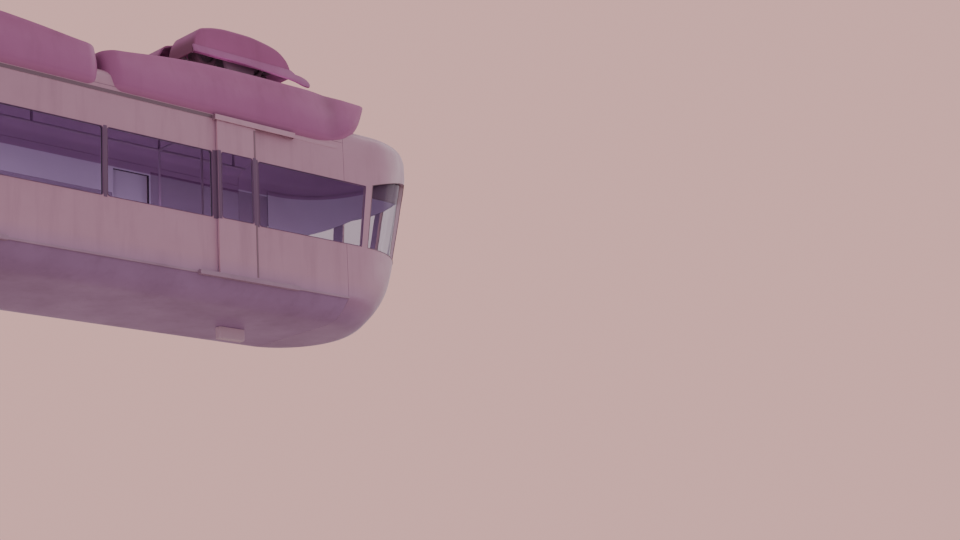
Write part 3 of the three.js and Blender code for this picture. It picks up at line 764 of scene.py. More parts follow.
# Windscreen header: the cabin lining comes down behind the top of the windscreen, so that the
# glass is dark above eye height. It is a laminate skin on the inside of the glass.
HEADER_LOW = 1.74
HEADER_FALL = 0.33
HEADER_BEND = 0.5
HEADER_INSET = 0.062
HEADER_THICKNESS = 0.006
screen_header = panel_of_form(
    "screen_header_front", ("X", -1, 4.43), ("Z", -1, SILL + 1.5), ("Z", 1, SILL + 2.2)
)
work_on(screen_header)
pick_all()
bpy.ops.mesh.bisect(plane_co=(0, 0, 0), plane_no=(0, 1, 0))
for edge in (-1, 1):
    pick("FACE", lambda f: middle_of(f).y * edge > 0)
    bend = (0, HEADER_BEND * edge, SILL + HEADER_LOW)
    bpy.ops.mesh.bisect(plane_co=bend, plane_no=(0, HEADER_FALL * edge, 1))
    pick("FACE", lambda f: abs(middle_of(f).y) < HEADER_BEND + 0.3)
    bpy.ops.mesh.bisect(plane_co=bend, plane_no=(0, 0, 1))


def under_header(face):
    point = middle_of(face)
    fall = max(abs(point.y) - HEADER_BEND, 0) * HEADER_FALL
    return point.z < SILL + HEADER_LOW - fall


pick("FACE", under_header)
bpy.ops.mesh.delete(type="FACE")
pick_all()
bpy.ops.transform.shrink_fatten(value=-HEADER_INSET)
settle()
shade(screen_header, Finish("screen_header_back", (0.13, 0.07, 0.15), (0.6, 0.8)).done(), lining)
give_wall(screen_header, HEADER_THICKNESS, inner_slot=1)
soften(screen_header)
with_twin(screen_header, "screen_header_rear")

# Roof panel: a shallow pressed tray between the noses that carries the bogies and the fairings.
# It is cut from the form at its edge, mirrored about the middle of the car and given its wall.
TRAY_END = 3.898


def pressed_tray(name, edge, outside, rim_slot=0):
    """A tray of the body form, lined inside, from a half that is mirrored."""
    tray = panel_of_form(name, ("X", 1, TRAY_END), edge)
    shade(tray, outside, lining)
    harden(tray, "MIRROR", use_axis=(True, False, False), merge_threshold=0.0005)
    give_wall(tray, WALL, inner_slot=1, rim_slot=rim_slot)
    soften(tray)
    return tray


roof_skin = pressed_tray("roof_panel_pressing", ("Z", -1, SILL + 2.204), paint, rim_slot=1)
stands_for(roof_skin, "roof_panel", "car")

# Belly pan: the underside tray, painted darker, which turns up to meet the sill on both sides.
# Its darker colour is partly paint and partly painted shade. It is pressed like the roof and
# splashed with road dirt.
belly_finish = Finish("belly_paint", BELLY_PAINT_AND_SHADE, (0.5, 0.7))
belly_finish.stain("Blotches", ROAD_GRIME, 0.3).stain("Streaks", ROAD_GRIME, 0.25)
belly_paint = belly_finish.done(coat_weight=0.1)
belly_skin = pressed_tray("belly_pan_pressing", ("Z", 1, SILL - 0.002), belly_paint)
stands_for(belly_skin, "belly_pan", "car")

# Fairings: boat-shaped troughs of pink moulded plastic round the bogies, screwed to the roof.
# The sides swell out at half height, draw in to a waist near the outer end and rise to a rim.
# A section gives its height, inner end, outer end, half width, and inner and outer corner radius,
# and the rim line the rim's height along the car. Heights are above the sill.
FAIRING_SECTIONS = [
    (2.150, 0.075, 3.860, 1.195, 0.200, 0.320),
    (2.215, 0.065, 3.975, 1.240, 0.200, 0.300),
    (2.320, 0.055, 4.105, 1.252, 0.200, 0.270),
    (2.500, 0.045, 4.270, 1.232, 0.200, 0.230),
    (2.700, 0.038, 4.390, 1.165, 0.200, 0.190),
    (2.960, 0.030, 4.530, 1.065, 0.200, 0.150),
]
RIM_LINE = [
    (-0.100, 2.695),
    (0.375, 2.745),
    (0.930, 2.822),
    (1.400, 2.873),
    (1.900, 2.904),
    (2.600, 2.916),
    (3.400, 2.916),
    (4.000, 2.896),
    (4.900, 2.858),
]
FAIRING_WALL = 0.045
CORNER_STEPS = 10
SIDE_STEPS = 26
END_STEPS = 6
WAIST_AT = 3.72
WAIST_DEPTH = 0.030
WAIST_SPREAD = 0.17
FAIRING_PAINT = (0.345, 0.102, 0.25)
FAIRING_GRIME_AND_SHADE = (0.20, 0.055, 0.13)
fairing_rows = smooth_rows(FAIRING_SECTIONS, 3)


def along(rows, at):
    """The row of a table for a value of its first column, read between the rows."""
    for low, high in zip(rows, rows[1:]):
        if at <= high[0] or high is rows[-1]:
            share = (at - low[0]) / (high[0] - low[0])
            return [a + (b - a) * share for a, b in zip(low, high)]


def on_arc(x, y, radius, degrees):
    angle = math.radians(degrees)
    return x + radius * math.cos(angle), y + radius * math.sin(angle)


def fairing_outline(section):
    """Plan points of one fairing section, once round from the outer near corner."""
    _, inner, outer, half, inner_round, outer_round = section
    corners = [
        (outer - outer_round, outer_round - half, outer_round, -90, END_STEPS),
        (outer - outer_round, half - outer_round, outer_round, 0, SIDE_STEPS),
        (inner + inner_round, half - inner_round, inner_round, 90, END_STEPS),
        (inner + inner_round, inner_round - half, inner_round, 180, SIDE_STEPS),
    ]
    points = []
    for (x, y, radius, degrees, steps), following in zip(corners, corners[1:] + corners[:1]):
        for step in range(CORNER_STEPS + 1):
            points.append(on_arc(x, y, radius, degrees + 90 * step / CORNER_STEPS))
        start, stop = points[-1], on_arc(*following[:4])
        for step in range(1, steps):
            share = step / steps
            points.append(tuple(a + (b - a) * share for a, b in zip(start, stop)))
    return points


def fairing_point(turn_at, row_at):
    """A point of the fairing's skin, with the rim's fall and the waist worked in."""
    row = fairing_rows[row_at]
    foot, top = FAIRING_SECTIONS[0][0], FAIRING_SECTIONS[-1][0]
    x, _ = fairing_outline(row)[turn_at]
    rise = along(RIM_LINE, x)[1] - foot
    height = foot + (row[0] - foot) * rise / (top - foot)
    x, y = fairing_outline(along(fairing_rows, height))[turn_at]
    waist = WAIST_DEPTH * math.exp(-(((x - WAIST_AT) / WAIST_SPREAD) ** 2)) * min(abs(y), 1)
    return x, y - math.copysign(waist, y), SILL + height


def weld(gap):
    """In edit mode, merges the points that are closer than a gap."""
    pick_all()
    bpy.ops.mesh.remove_doubles(threshold=gap)


def laid_up(name, columns, rows, place, closed=False):
    """A skin of columns by rows of points, each set in its place. A closed one meets itself."""
    grid = bpy.ops.mesh.primitive_grid_add
    skin = start_from(grid, name, x_subdivisions=columns, y_subdivisions=rows, size=1)
    for vertex in skin.data.vertices:
        column = round((vertex.co.x + 0.5) * columns)
        row = round((vertex.co.y + 0.5) * rows)
        vertex.co = place(column % columns if closed else column, row)
    work_on(skin)
    weld(HAIR / 10)
    face_outwards()
    return settle()


def pink_paint(name, clean=FAIRING_PAINT):
    """Pink gel coat, chalky where it faces the sky, with blotches and streaks of soot."""
    finish = Finish(name, clean, (0.55, 0.75))
    set_up(finish.shader, specular_ior_level=0.3)
    finish.stain("Blotches", FAIRING_GRIME_AND_SHADE, 0.22).stain("Streaks", FAIRING_GRIME_AND_SHADE, 0.35)
    return finish.stain("Upward", DUST, 0.1)


def trough_paint():
    """The fairing's gel coat: painted shade in the waist and along the foot, and painted light on
    the underside, over the lower half and at the outer end.
    """
    finish = pink_paint("fairing_paint")
    # Painted shade in the concave waist near the outer end.
    off_waist = finish.reckon("ABSOLUTE", finish.reckon("SUBTRACT", finish.off_middle("X"), 3.74))
    finish.stain(finish.step(off_waist, 0.2, 0.05), FAIRING_GRIME_AND_SHADE, 0.4)
    # Painted light where the skin faces down, and over the lower half.
    finish.stain("Downward", (0.66, 0.30, 0.53), 0.75)
    finish.stain(finish.step(finish.axis("Z"), SILL + 2.75, SILL + 2.25), (0.44, 0.18, 0.38), 0.4)
    # Painted shade along the foot, where the fairing meets the roof.
    finish.stain(finish.step(finish.axis("Z"), SILL + 2.22, SILL + 2.16), FAIRING_GRIME_AND_SHADE, 0.25)
    # Painted light on the outer end.
    finish.stain(finish.step(finish.off_middle("X"), 3.95, 4.2), (0.44, 0.16, 0.32), 0.4)
    return finish.done()


def cut_away(piece, tool):
    """Takes the room of a tool out of a piece and puts the tool away."""
    harden(piece, "BOOLEAN", object=tool, operation="DIFFERENCE")
    bpy.data.objects.remove(tool)


fairing_turns = len(fairing_outline(fairing_rows[0]))
fairing = laid_up(
    "fairing_front_moulding", fairing_turns, len(fairing_rows) - 1, fairing_point, closed=True
)
shade(fairing, trough_paint())
give_wall(fairing, FAIRING_WALL)
ease(fairing, 0.012, 3)
under_roof = copy_of(body_form, "under_roof")
work_on(under_roof)
pick("EDGE", lambda e: e.is_boundary)
bpy.ops.mesh.edge_face_add()
cut_away(fairing, settle())
soften(fairing, 40)
pair_of(fairing, "fairing", ENDS, tail="moulding")

# Glazing: tinted safety glass in one sheet behind the wall, wrapped round each nose, with flat
# sheets at the middle of the sides and in the door leaves.
GLASS_INSET = WALL + 0.0005
GLASS_THICKNESS = 0.008
GLASS_BEND = 1.06
TINT_LIGHT = (0.795, 0.72, 0.775)
TINT_DARK = (0.725, 0.65, 0.715)
TINT_SHADOW = (0.97, 0.94, 0.97)


def tinted_glass():
    """Smoke tinted glass that lets light through to the cabin."""
    material = bpy.data.materials.new("window_glass")
    material.use_nodes = True
    tree = material.node_tree
    nodes, links = tree.nodes, tree.links
    shader = nodes["Principled BSDF"]
    set_up(shader, transmission_weight=1, ior=GLASS_BEND)
    film = nodes.new("ShaderNodeTexNoise")
    set_up(film, scale=1.3, detail=5)
    links.new(nodes.new("ShaderNodeTexCoord").outputs["Object"], film.inputs["Vector"])
    dirt = spread(tree, film.outputs["Fac"], to_min=0.02, to_max=0.07)
    links.new(dirt, shader.inputs["Roughness"])
    tint = nodes.new("ShaderNodeMix")
    tint.data_type = "RGBA"
    tint.inputs[6].default_value = (*TINT_LIGHT, 1)
    tint.inputs[7].default_value = (*TINT_DARK, 1)
    links.new(film.outputs["Fac"], tint.inputs[0])
    links.new(tint.outputs[2], shader.inputs["Base Color"])
    clear = nodes.new("ShaderNodeBsdfTransparent")
    set_up(clear, color=TINT_SHADOW)
    by_ray(tree, "Is Shadow Ray", shader, clear, "Material Output")
    return material


glass = tinted_glass()
glazing = panel_of_form(
    "glazing_front_sheet", ("X", -1, 2.34), ("Z", -1, SILL + 0.695), ("Z", 1, SILL + 2.12)
)
bpy.data.objects.remove(body_form)
work_on(glazing)
pick_all()
bpy.ops.transform.shrink_fatten(value=-GLASS_INSET)
settle()
shade(glazing, glass)
give_wall(glazing, GLASS_THICKNESS)
soften(glazing)
pair_of(glazing, "glazing", ENDS, tail="sheet")
for side in SIDES:
    shade(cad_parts[f"glazing_centre_{side}"], glass)

# Doors: one sliding leaf at each corner, a framed panel hung outside the wall, with a dark seal
# round its window and a rubber nosing on the edge that meets the door post.
LEAF_INNER = 1.212
LEAF_OUTER = 1.242
DOOR_LEFT = 1.70
DOOR_RIGHT = 2.33
WINDOW_INSET = 0.055
LEAF_COVERS = (
    ("left", DOOR_LEFT + 0.005, DOOR_LEFT + 0.052),
    ("right", DOOR_RIGHT - 0.052, DOOR_RIGHT - 0.004),
)
NOSING_SPAN = (DOOR_RIGHT - 0.030, DOOR_RIGHT - 0.004)
NOSINGS = (
    ("low", SILL + 0.03, GLASS_LOW - 0.016),
    ("high", GLASS_HIGH + 0.016, SILL + 2.05),
)


def eased(source, width, *materials, segments=2):
    """A copy of a solid with its triangles merged into faces and its edges rounded over."""
    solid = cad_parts[source]
    piece = bpy.data.objects.new(f"{source}_made", solid.data.copy())
    piece.data.name = f"{source}_made"
    piece.data.transform(solid.matrix_world)
    shade(piece, *materials)
    bpy.context.scene.collection.objects.link(piece)
    work_on(piece)
    weld(HAIR / 10)
    bpy.ops.mesh.dissolve_limited(angle_limit=math.radians(1))
    settle()
    if width:
        ease(piece, width, segments, 0.6)
    soften(piece, 40)
    harden(piece, "WEIGHTED_NORMAL", keep_sharp=True)
    return piece


def on_pale_edge(face):
    """A face of the leaf's upright edge towards the middle of the car."""
    return face.normal.x < -0.9 and middle_of(face).x < DOOR_LEFT + 0.01


# The leaf's upright edge towards the middle gets a pale colour, painted light on a face that turns
# away from the light.
pale_edge = Finish("door_edge_trim", (0.62, 0.36, 0.47), (0.4, 0.6))
pale_edge.stain("Streaks", PAINT_GRIME_AND_SHADE, 0.4)
leaf_paint = body_paint("door_paint", LEAF_INNER)
door_leaf = eased("door_front_near", 0.004, leaf_paint, pale_edge.done(metallic=0.2), rubber)
work_on(door_leaf)
for level in (GLASS_LOW - SEAL_LAP_OUT, GLASS_HIGH + SEAL_LAP_OUT):
    pick("FACE", on_pale_edge)
    bpy.ops.mesh.bisect(plane_co=(0, 0, level), plane_no=(0, 0, 1))
for face in bmesh.from_edit_mesh(door_leaf.data).faces:
    if on_pale_edge(face):
        beside_glass = GLASS_LOW < middle_of(face).z < GLASS_HIGH
        face.material_index = 2 if beside_glass else 1
settle()
for corner, leaf in four_corners(door_leaf, "door_leaf"):
    stands_for(leaf, f"door_{corner}", f"door_{corner}")
    shade(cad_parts[f"door_glass_{corner}"], glass)
leaf_window = box_corners(DOOR_LEFT + WINDOW_INSET, DOOR_RIGHT - WINDOW_INSET)
all_round(window_seal("leaf_seal", leaf_window, LEAF_OUTER), "door_window_seal", "door")
for side, left, right in LEAF_COVERS:
    cover = cover_strip("leaf_cover", left, right, LEAF_OUTER)
    all_round(cover, f"door_frame_cover_{side}", "door")
nosing_rubber = Finish("door_nosing", (0.22, 0.13, 0.18), (0.6, 0.8)).done(bump=0.3)
for stem, low, high in NOSINGS:
    nosing = cover_strip("leaf_nosing", *NOSING_SPAN, LEAF_OUTER, low, high)
    shade(nosing, nosing_rubber)
    all_round(nosing, f"door_nosing_{stem}", "door")

# Door rails: an aluminium channel along the sill and a painted header with a rain gutter above
# the doors, riveted to the side panels. The header is darkened on top and between the doors as
# painted shade under the fairing's edge, and lightened on its underside as painted light.
HEADER_SHADE = (0.12, 0.06, 0.10)
HEADER_UNDERSIDE_LIGHT = (0.85, 0.60, 0.70)
rail_finish = Finish("rail_metal", (0.37, 0.23, 0.34), (0.4, 0.6), streak_scale=20.0)
rail_metal = rail_finish.stain("Blotches", ROAD_GRIME, 0.5).done(metallic=0.1)
sill_rail = eased("sill_rail_near", 0.0012, rail_metal)
pair_of(sill_rail, "sill_rail", SIDES)
header_finish = Finish("door_header_paint", PAINT, (0.34, 0.55))
header_finish.stain("Streaks", PAINT_GRIME_AND_SHADE, 0.3)
# Painted shade between the doors, for the dark line under the fairing's edge.
header_finish.stain(header_finish.step(header_finish.off_middle("X"), 1.665, 1.655), HEADER_SHADE, 0.9)
# Painted light on the underside, and painted shade on top under the fairing's edge.
header_finish.stain("Downward", HEADER_UNDERSIDE_LIGHT).stain("Upward", HEADER_SHADE, 0.9)
door_header = eased("overhead_rail_near", 0.0012, header_finish.done(coat_weight=0.2))
pair_of(door_header, "overhead_rail", SIDES)

# Lamps: a pair of round lamps under each windscreen, a bright ring and a ribbed lens in a
# hole of the nose moulding. The rings and lenses are turned, each profile as radius and height.
LAMP_X, LAMP_Y, LAMP_Z = 5.272, 0.36, SILL + 0.43
LAMP_HOLE = 0.077
TURN_STEPS = 48
RING_PROFILE = [
    (0.060, -0.110),
    (0.076, -0.110),
    (0.076, -0.006),
    (0.073, -0.001),
    (0.068, 0.0),
    (0.064, -0.003),
    (0.062, -0.012),
]
LENS_PROFILE = [
    (0, -0.030),
    (0.062, -0.030),
    (0.062, -0.016),
    (0.052, -0.010),
    (0.036, -0.006),
    (0.018, -0.004),
    (0, -0.0035),
]


def turned(name, profile, place):
    """A ring turned about the Z axis from a closed profile, set in place."""
    ring = drawn(name, [(radius, 0, rise) for radius, rise in profile], "NOTHING")
    work_on(ring)
    pick_all()
    bpy.ops.mesh.spin(steps=TURN_STEPS, angle=2 * math.pi, center=(0, 0, 0), axis=(0, 0, 1))
    weld(HAIR / 10)
    face_outwards()
    pick("EDGE", lambda e: e.is_wire)
    bpy.ops.mesh.delete(type="EDGE")
    settle()
    ring.data.transform(place)
    soften(ring, 35)
    return ring


def ribs(finish, scale):
    """Fine ribs side by side across the car."""
    wave = finish.node("TexWave")
    wave.bands_direction = "Y"
    set_up(wave, scale=scale)
    finish.feed(finish.place, wave.inputs["Vector"])
    return wave.outputs["Fac"]


facing_ahead = Matrix.Translation((LAMP_X, -LAMP_Y, LAMP_Z)) @ turn_about("Y", 90)
lamp_ring = turned("lamp_ring", RING_PROFILE, facing_ahead)
shade(lamp_ring, Finish("lamp_ring_metal", (0.50, 0.44, 0.48), (0.18, 0.35)).done(metallic=0.9))
lamp_lens = turned("lamp_lens", LENS_PROFILE, facing_ahead)
lens_finish = Finish("lamp_lens", (0.30, 0.26, 0.30), (0.08, 0.2))
shade(lamp_lens, lens_finish.done(0.5, 0.003, ribs(lens_finish, 30), coat_weight=0.6))
for nose, heading in ((nose_front, 1), (nose_rear, -1)):
    for across in (-LAMP_Y, LAMP_Y):
        drill = start_from(
            bpy.ops.mesh.primitive_cylinder_add,
            "lamp_drill",
            vertices=64,
            radius=LAMP_HOLE,
            depth=0.4,
            location=(heading * LAMP_X, across, LAMP_Z),
            rotation=(0, math.pi / 2, 0),
        )
        cut_away(nose, drill)
    soften(nose)
all_round(lamp_ring, "lamp_ring")
all_round(lamp_lens, "lamp_lens")

# Cabin: a ribbed rubber floor with bench plinths, moulded plastic benches screwed to them along
# the walls, and brushed steel grab rails under the ceiling.
FLOOR_GRIME = (0.07, 0.05, 0.07)
BENCH_GRIME = (0.10, 0.06, 0.13)
GRAB_GRIME = (0.20, 0.13, 0.22)
floor_finish = Finish("floor_covering", (0.13, 0.10, 0.14), (0.6, 0.8))
floor_finish.stain("Blotches", FLOOR_GRIME, 0.5)
shade(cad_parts["cabin_floor"], floor_finish.done(0.5, 0.003, ribs(floor_finish, 16)))
bench_finish = Finish("bench_moulding", (0.20, 0.13, 0.27), (0.35, 0.55))
bench_finish.stain("Blotches", BENCH_GRIME, 0.3)
bench_moulding = bench_finish.done(bump=0.2, coat_weight=0.2)
bench = eased("bench_front", 0.010, bench_moulding, segments=3)
pair_of(bench, "bench", ENDS)
centre_bench = eased("bench_centre_near", 0.010, bench_moulding, segments=3)
pair_of(centre_bench, "bench_centre", SIDES)
grab_finish = Finish("grab_metal", (0.32, 0.22, 0.34), (0.4, 0.55), streak_scale=60.0)
grab_finish.stain("Streaks", GRAB_GRIME, 0.5)
grab_rails = eased("grab_rails", 0, grab_finish.done(bump=0.1, metallic=0.4))
stands_for(grab_rails, "grab_rails", "car")

# Equipment box: a pale steel box bolted under the belly, with a lid on its lower face. The lid's
# edge is pressed in and held by six small bolts.
BOX_LOW = SILL - 0.465
LID_BOLTS = [(x, y, BOX_LOW) for x in (2.69, 2.87, 3.05) for y in (0.067, 0.133)]


def press_in(*steps):
    """In edit mode, insets the picked faces step by step, each by a width and a depth."""
    for width, depth in steps:
        bpy.ops.mesh.inset(thickness=width, depth=depth)


def joined(name, *pieces):
    """One piece made of several."""
    hold(*pieces)
    bpy.ops.object.join()
    return settle(name)


def bolt_heads(name, places, radius, material):
    """Hexagon bolt heads with eased edges, each set by a matrix whose Z is its own axis."""
    hexagon = bpy.ops.mesh.primitive_cylinder_add
    head = start_from(hexagon, name, vertices=6, radius=radius, depth=radius * 1.3)
    shade(head, material)
    ease(head, radius * 0.12, 1, 0.6)
    copies = [copy_of(head, name, place) for place in places]
    bpy.data.objects.remove(head)
    return joined(name, *copies)


box_finish = Finish("box_paint", (0.66, 0.50, 0.61), (0.45, 0.65))
box_finish.stain("Streaks", ROAD_GRIME, 0.4).stain("Downward", ROAD_GRIME, 0.2)
box_paint = box_finish.done(coat_weight=0.2)
box = eased("underfloor_box", 0.008, box_paint, segments=3)
work_on(box)
pick("FACE", lambda f: middle_of(f).z < BOX_LOW + 0.001 and f.normal.z < -0.9)
press_in((0.010, 0), (0.003, -0.003), (0.003, 0.003))
settle()
stands_for(box, "underfloor_box", "car")
lid_places = [Matrix.Translation(place) for place in LID_BOLTS]
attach(bolt_heads("underfloor_box_bolts", lid_places, 0.007, box_paint), "car")

# Roof bolsters and bogie frames: welded steel beams in dark greasy paint. The bolster is bolted
# to the roof and its pin hangs the car from the bogie's cross beam.
BOGIE = 2.6
FOOT_BOLTS = [(BOGIE + x, y, SILL + 2.633) for x in (-0.15, 0.15) for y in (-0.58, -0.3, 0.3, 0.58)]
GREASE = (0.035, 0.024, 0.032)
RUST = (0.16, 0.07, 0.06)
# The steel's base colour is lifted above its dark paint as painted light in the shade under the
# hoods.
steel_finish = Finish("bogie_steel", (0.15, 0.08, 0.13), (0.4, 0.65))
steel_finish.stain("Blotches", GREASE, 0.6).stain("Streaks", RUST, 0.35)
steel_finish.stain("Upward", (0.22, 0.15, 0.18), 0.4)
bogie_steel = steel_finish.done(bump=0.35, coat_weight=0.15)
bolster = eased("bolster_front", 0.006, bogie_steel, segments=3)
pair_of(bolster, "bolster", ENDS)
bogie_frame = eased("bogie_frame_front", 0.004, bogie_steel)
pair_of(bogie_frame, "bogie_frame", ENDS, body="bogie")
foot_places = [Matrix.Translation(place) for place in FOOT_BOLTS]
bolster_bolts = bolt_heads("bolster_bolts_front", foot_places, 0.018, bogie_steel)
with_twin(bolster_bolts, "bolster_bolts_rear")

# Motors: a cast gearcase and a finned motor barrel in one block between the load wheels,
# bolted inside the near side rail of each bogie frame.
MOTOR_Z = 0.22
FIN_PITCH = 0.022
BARREL, FIN_TIP = 0.150, 0.176
casting_finish = Finish("motor_casting", (0.17, 0.13, 0.16), (0.45, 0.7), grain_scale=90.0)
casting_finish.stain("Blotches", GREASE, 0.5).stain("Upward", (0.24, 0.17, 0.20), 0.4)
motor_casting = casting_finish.done(bump=0.5, depth=0.003)
barrel_profile = [(0.02, 0.0), (0.135, 0.0), (BARREL, 0.012)]
for fin in range(9):
    at = 0.020 + fin * FIN_PITCH
    barrel_profile += [(BARREL, at), (FIN_TIP, at + 0.001)]
    barrel_profile += [(FIN_TIP, at + 0.007), (BARREL, at + 0.008)]
barrel_profile += [(BARREL, 0.228), (BARREL, 0.245), (0.02, 0.245)]
along_y = Matrix.Translation((BOGIE, -0.559, MOTOR_Z)) @ turn_about("X", -90)
barrel = turned("motor_barrel", barrel_profile, along_y)


def cast_block(name, place, sizes):
    """In edit mode, a block of the motor's housing."""
    cube = bpy.ops.mesh.primitive_cube_add
    block = start_from(cube, name, size=1, location=place, scale=sizes)
    work_on(block)


cast_block("motor_gearcase", (BOGIE, -0.26, MOTOR_Z), (0.39, 0.12, 0.36))
pick("EDGE", lambda e: abs(e.verts[0].co.y - e.verts[1].co.y) > 0.1)
bpy.ops.mesh.bevel(offset=0.07, segments=6)
pick("FACE", lambda f: f.normal.y > 0.9)
press_in((0.022, 0), (0.006, -0.012))
gearcase = settle()
ease(gearcase, 0.006, 2, 0.6)
cast_block("motor_terminal_box", (BOGIE, -0.45, 0.378), (0.11, 0.10, 0.044))
pick("FACE", lambda f: f.normal.z > 0.9)
press_in((0.006, 0), (0.004, -0.004))
terminal_box = settle()
ease(terminal_box, 0.004, 2, 0.6)
motor = joined("motor_front_made", barrel, gearcase, terminal_box)
shade(motor, motor_casting)
soften(motor, 40)
pair_of(motor, "motor", ENDS, body="bogie")

# Wheels: solid rubber tyres bonded to steel hubs. Load wheels roll on the track's flange on
# level stubs, and smaller guide wheels press on its web on upright pins.
# A kind's sizes are its radius, the hub's rim, the width and the bore.
LOAD_SIZES = (0.190, 0.135, 0.200, 0.036)
LOAD_GROOVES = (0.035, 0, -0.035)
LOAD_PLACES = (("out", (BOGIE + 0.40, -0.295, 0.19)), ("in", (BOGIE - 0.40, -0.295, 0.19)))
GUIDE_SIZES = (0.100, 0.065, 0.090, 0.028)
GUIDE_GROOVES = (0,)
GUIDE_PLACES = (("out", (BOGIE + 0.705, -0.175, 0.105)), ("in", (BOGIE - 0.705, -0.175, 0.105)))
# The tyres get a lighter, reddish rubber than rubber has, as painted light in the shade under the
# hoods.
tyre_finish = Finish("wheel_tyre", (0.16, 0.085, 0.125), (0.6, 0.85))
tyre_rubber = tyre_finish.stain("Blotches", (0.10, 0.08, 0.09), 0.45).done(bump=0.4)
hub_finish = Finish("wheel_hub", (0.24, 0.18, 0.22), (0.35, 0.6))
hub_metal = hub_finish.stain("Blotches", GREASE, 0.5).done(metallic=0.6)


def both_faces(side, tread=()):
    """A profile of one side, a tread between, and the same side on the other face."""
    return side + list(tread) + [(radius, -rise) for radius, rise in reversed(side)]


def tyre_profile(rim, radius, width, grooves):
    """The section of a tyre: shoulders and a grooved tread."""
    half, crown = width / 2, radius - rim
    side = [(rim, half - 0.004), (rim + 0.3 * crown, half), (rim + 0.7 * crown, half - 0.003)]
    side += [(radius - 0.010, half - 0.012), (radius, half - 0.030)]
    tread = []
    for place in grooves:
        tread += [(radius, place + 0.004), (radius - 0.006, place + 0.003)]
        tread += [(radius - 0.006, place - 0.003), (radius, place - 0.004)]
    return both_faces(side, tread)


def hub_profile(bore, rim, width):
    """The section of a dished hub: boss, web and rim on both faces."""
    half, span = width / 2, rim - bore
    side = [(bore, half - 0.004), (bore + 0.22 * span, half - 0.002)]
    side += [(bore + 0.26 * span, half - 0.022), (rim - 0.16 * span, half - 0.026)]
    side += [(rim - 0.1 * span, half - 0.006), (rim - 0.0005, half - 0.006)]
    return both_faces(side)


def fit_wheels(kind, places, sizes, grooves, turn):
    """Tyre and bolted hub of one kind of wheel, set on all four corners of both bogies."""
    radius, rim, width, bore = sizes
    for end, place in places:
        stand = Matrix.Translation(place) @ turn
        tyre = turned(f"{kind}_tyre", tyre_profile(rim, radius, width, grooves), stand)
        shade(tyre, tyre_rubber)
        for corner, twin in four_corners(tyre, f"{kind}_tyre", f"_{end}"):
            wheel = f"{kind}_{corner}_{end}"
            stands_for(twin, wheel, wheel)
        hub = turned(f"{kind}_hub", hub_profile(bore, rim, width), stand)
        shade(hub, hub_metal)
        ring = bore + 0.55 * (rim - bore)
        spots = []
        for face in (-1, 1):
            spot = Matrix.Translation((ring, 0, face * (width / 2 - 0.022)))
            spots += [stand @ turn_about("Z", 60 * bolt) @ spot for bolt in range(6)]
        bolts = bolt_heads(f"{kind}_bolts", spots, 0.09 * (rim - bore), hub_metal)
        hub = joined(f"{kind}_hub", hub, bolts)
        for corner, twin in four_corners(hub, f"{kind}_hub", f"_{end}"):
            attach(twin, f"{kind}_{corner}_{end}")


fit_wheels("load_wheel", LOAD_PLACES, LOAD_SIZES, LOAD_GROOVES, turn_about("X", 90))
fit_wheels("guide_wheel", GUIDE_PLACES, GUIDE_SIZES, GUIDE_GROOVES, Matrix.Identity(4))

# Wheel hoods: long low covers of pink moulded plastic over the wheels of each side, open below
# and towards the track. The hood's line gives its height along the bogie.
HOOD_HALF = 0.85
HOOD_TOP = 0.485
HOOD_LOW = 0.022
HOOD_LINE = [
    (-0.850, 0.022),
    (-0.850, 0.105),
    (-0.765, 0.330),
    (-0.720, 0.385),
    (-0.570, 0.440),
    (-0.330, 0.480),
    (-0.080, 0.485),
    (0.170, 0.480),
    (0.330, 0.458),
    (0.500, 0.427),
    (0.620, 0.390),
    (0.740, 0.310),
    (0.800, 0.240),
    (0.835, 0.160),
    (0.850, 0.105),
    (0.850, 0.022),
]
HOOD_INNER = 0.150
HOOD_OUTER = 0.680
HOOD_SHOULDER = 0.045
HOOD_WALL = 0.022
FLAT_STEPS = 3
SHOULDER_STEPS = 6
HOOD_END_SHADE = (0.17, 0.045, 0.10)
hood_line = [
    (min(max(x, -HOOD_HALF), HOOD_HALF), min(max(z, HOOD_LOW), HOOD_TOP))
    for x, z in smooth_rows(HOOD_LINE, 4)
]


def hood_point(column, row):
    """A point of the hood's skin: over the top from the track side, round the shoulder, down."""
    x, top = hood_line[column]
    shoulder = min(HOOD_SHOULDER, (top - HOOD_LOW) * 0.8)
    if row <= FLAT_STEPS:
        across, z = HOOD_INNER + (HOOD_OUTER - shoulder - HOOD_INNER) * row / FLAT_STEPS, top
    elif row <= FLAT_STEPS + SHOULDER_STEPS:
        angle = (row - FLAT_STEPS) / SHOULDER_STEPS * math.pi / 2
        across = HOOD_OUTER - shoulder + shoulder * math.sin(angle)
        z = top - shoulder + shoulder * math.cos(angle)
    else:
        across, down = HOOD_OUTER, row - FLAT_STEPS - SHOULDER_STEPS
        z = top - shoulder - (top - shoulder - HOOD_LOW) * down / FLAT_STEPS
    return BOGIE + x, -across, z


def hood_paint():
    """The fairings' gel coat, with painted shade on the end walls towards the car's middle."""
    finish = pink_paint("hood_paint")
    # Painted shade on the end wall towards the car's middle.
    off_bogie = finish.reckon("SUBTRACT", finish.off_middle("X"), BOGIE)
    return finish.stain(finish.step(off_bogie, -0.790, -0.840), HOOD_END_SHADE).done()


def weld_slivers(gap):
    """In edit mode, merges close points and clears the faces that have no area left."""
    weld(gap)
    bpy.ops.mesh.dissolve_degenerate(threshold=gap)


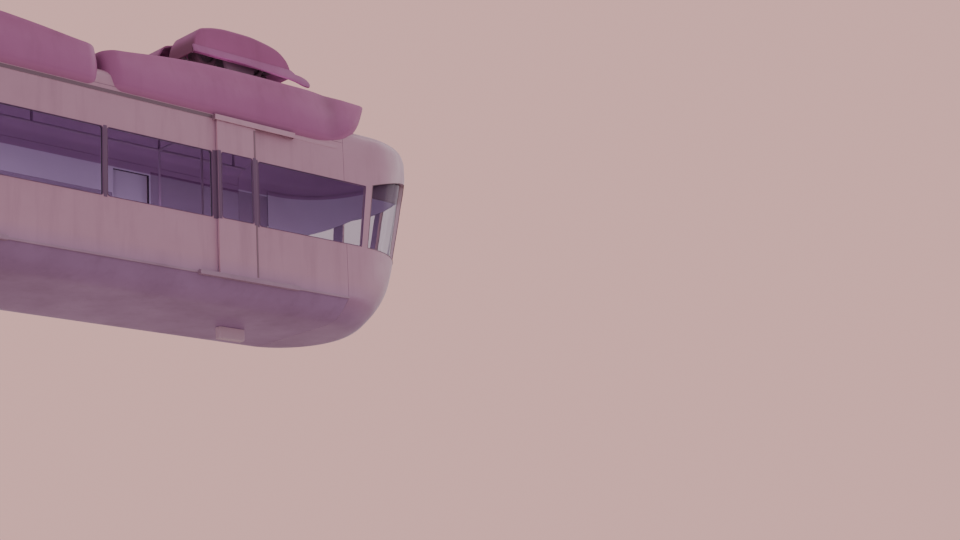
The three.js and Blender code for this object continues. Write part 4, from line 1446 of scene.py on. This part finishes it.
hood = laid_up("hood_shell", len(hood_line) - 1, 2 * FLAT_STEPS + SHOULDER_STEPS, hood_point)
work_on(hood)
weld_slivers(0.001)
face_outwards()
mesh = bmesh.from_edit_mesh(hood.data)
if max(mesh.faces, key=lambda f: middle_of(f).z).normal.z < 0:
    bpy.ops.mesh.flip_normals()
settle()
# The hood's inner faces get a pale pink, painted light in the deep shade under the hood.
shade(hood, hood_paint(), Finish("hood_inside", (0.42, 0.15, 0.32), (0.7, 0.9)).done())
harden(hood, "SOLIDIFY", thickness=HOOD_WALL, offset=-1, material_offset=1)
ease(hood, 0.005)
work_on(hood)
weld_slivers(0.0002)
pick_all()
bpy.ops.mesh.fill_holes(sides=0)
settle()
soften(hood, 38)
for corner, shell in four_corners(hood, "hood_shell"):
    stands_for(shell, f"hood_{corner}", "bogie_" + corner.split("_")[0])

# Hood skirts: a thick flared lip of the same pink plastic, welded to the outer wall of each hood,
# whose toe runs out past it. It is a plate with a smooth lower edge that leans outwards.
SKIRT_BEND = [
    (-0.870, 0.005),
    (-0.500, 0.010),
    (-0.100, 0.012),
    (0.200, -0.008),
    (0.500, -0.030),
    (0.850, -0.062),
    (1.010, -0.108),
    (1.090, -0.098),
    (1.112, -0.045),
    (1.080, 0.015),
    (1.000, 0.055),
    (0.900, 0.070),
]
SKIRT_BACK = [(0.835, 0.130), (0.200, 0.130), (-0.850, 0.130)]
SKIRT_MIDDLE = 0.740
SKIRT_LEAN = math.tan(math.radians(24))
SKIRT_THICKNESS = 0.024
SKIRT_LIT_TINT = (0.335, 0.105, 0.265)
skirt_line = smooth_rows(SKIRT_BEND, 3) + SKIRT_BACK
skirt_points = [(BOGIE + x, z * SKIRT_LEAN - SKIRT_MIDDLE, z) for x, z in skirt_line]
skirt = drawn("hood_skirt", skirt_points)
# The skirt takes a bluer copy of the hood's pink, painted light for the lighter band along the lip.
shade(skirt, pink_paint("hood_skirt_paint", SKIRT_LIT_TINT).done())
harden(skirt, "SOLIDIFY", thickness=SKIRT_THICKNESS, offset=0)
work_on(skirt)
face_outwards()
settle()
ease(skirt, 0.007, 3)
soften(skirt, 40)
for corner, twin in four_corners(skirt, "hood_skirt"):
    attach(twin, "bogie_" + corner.split("_")[0])
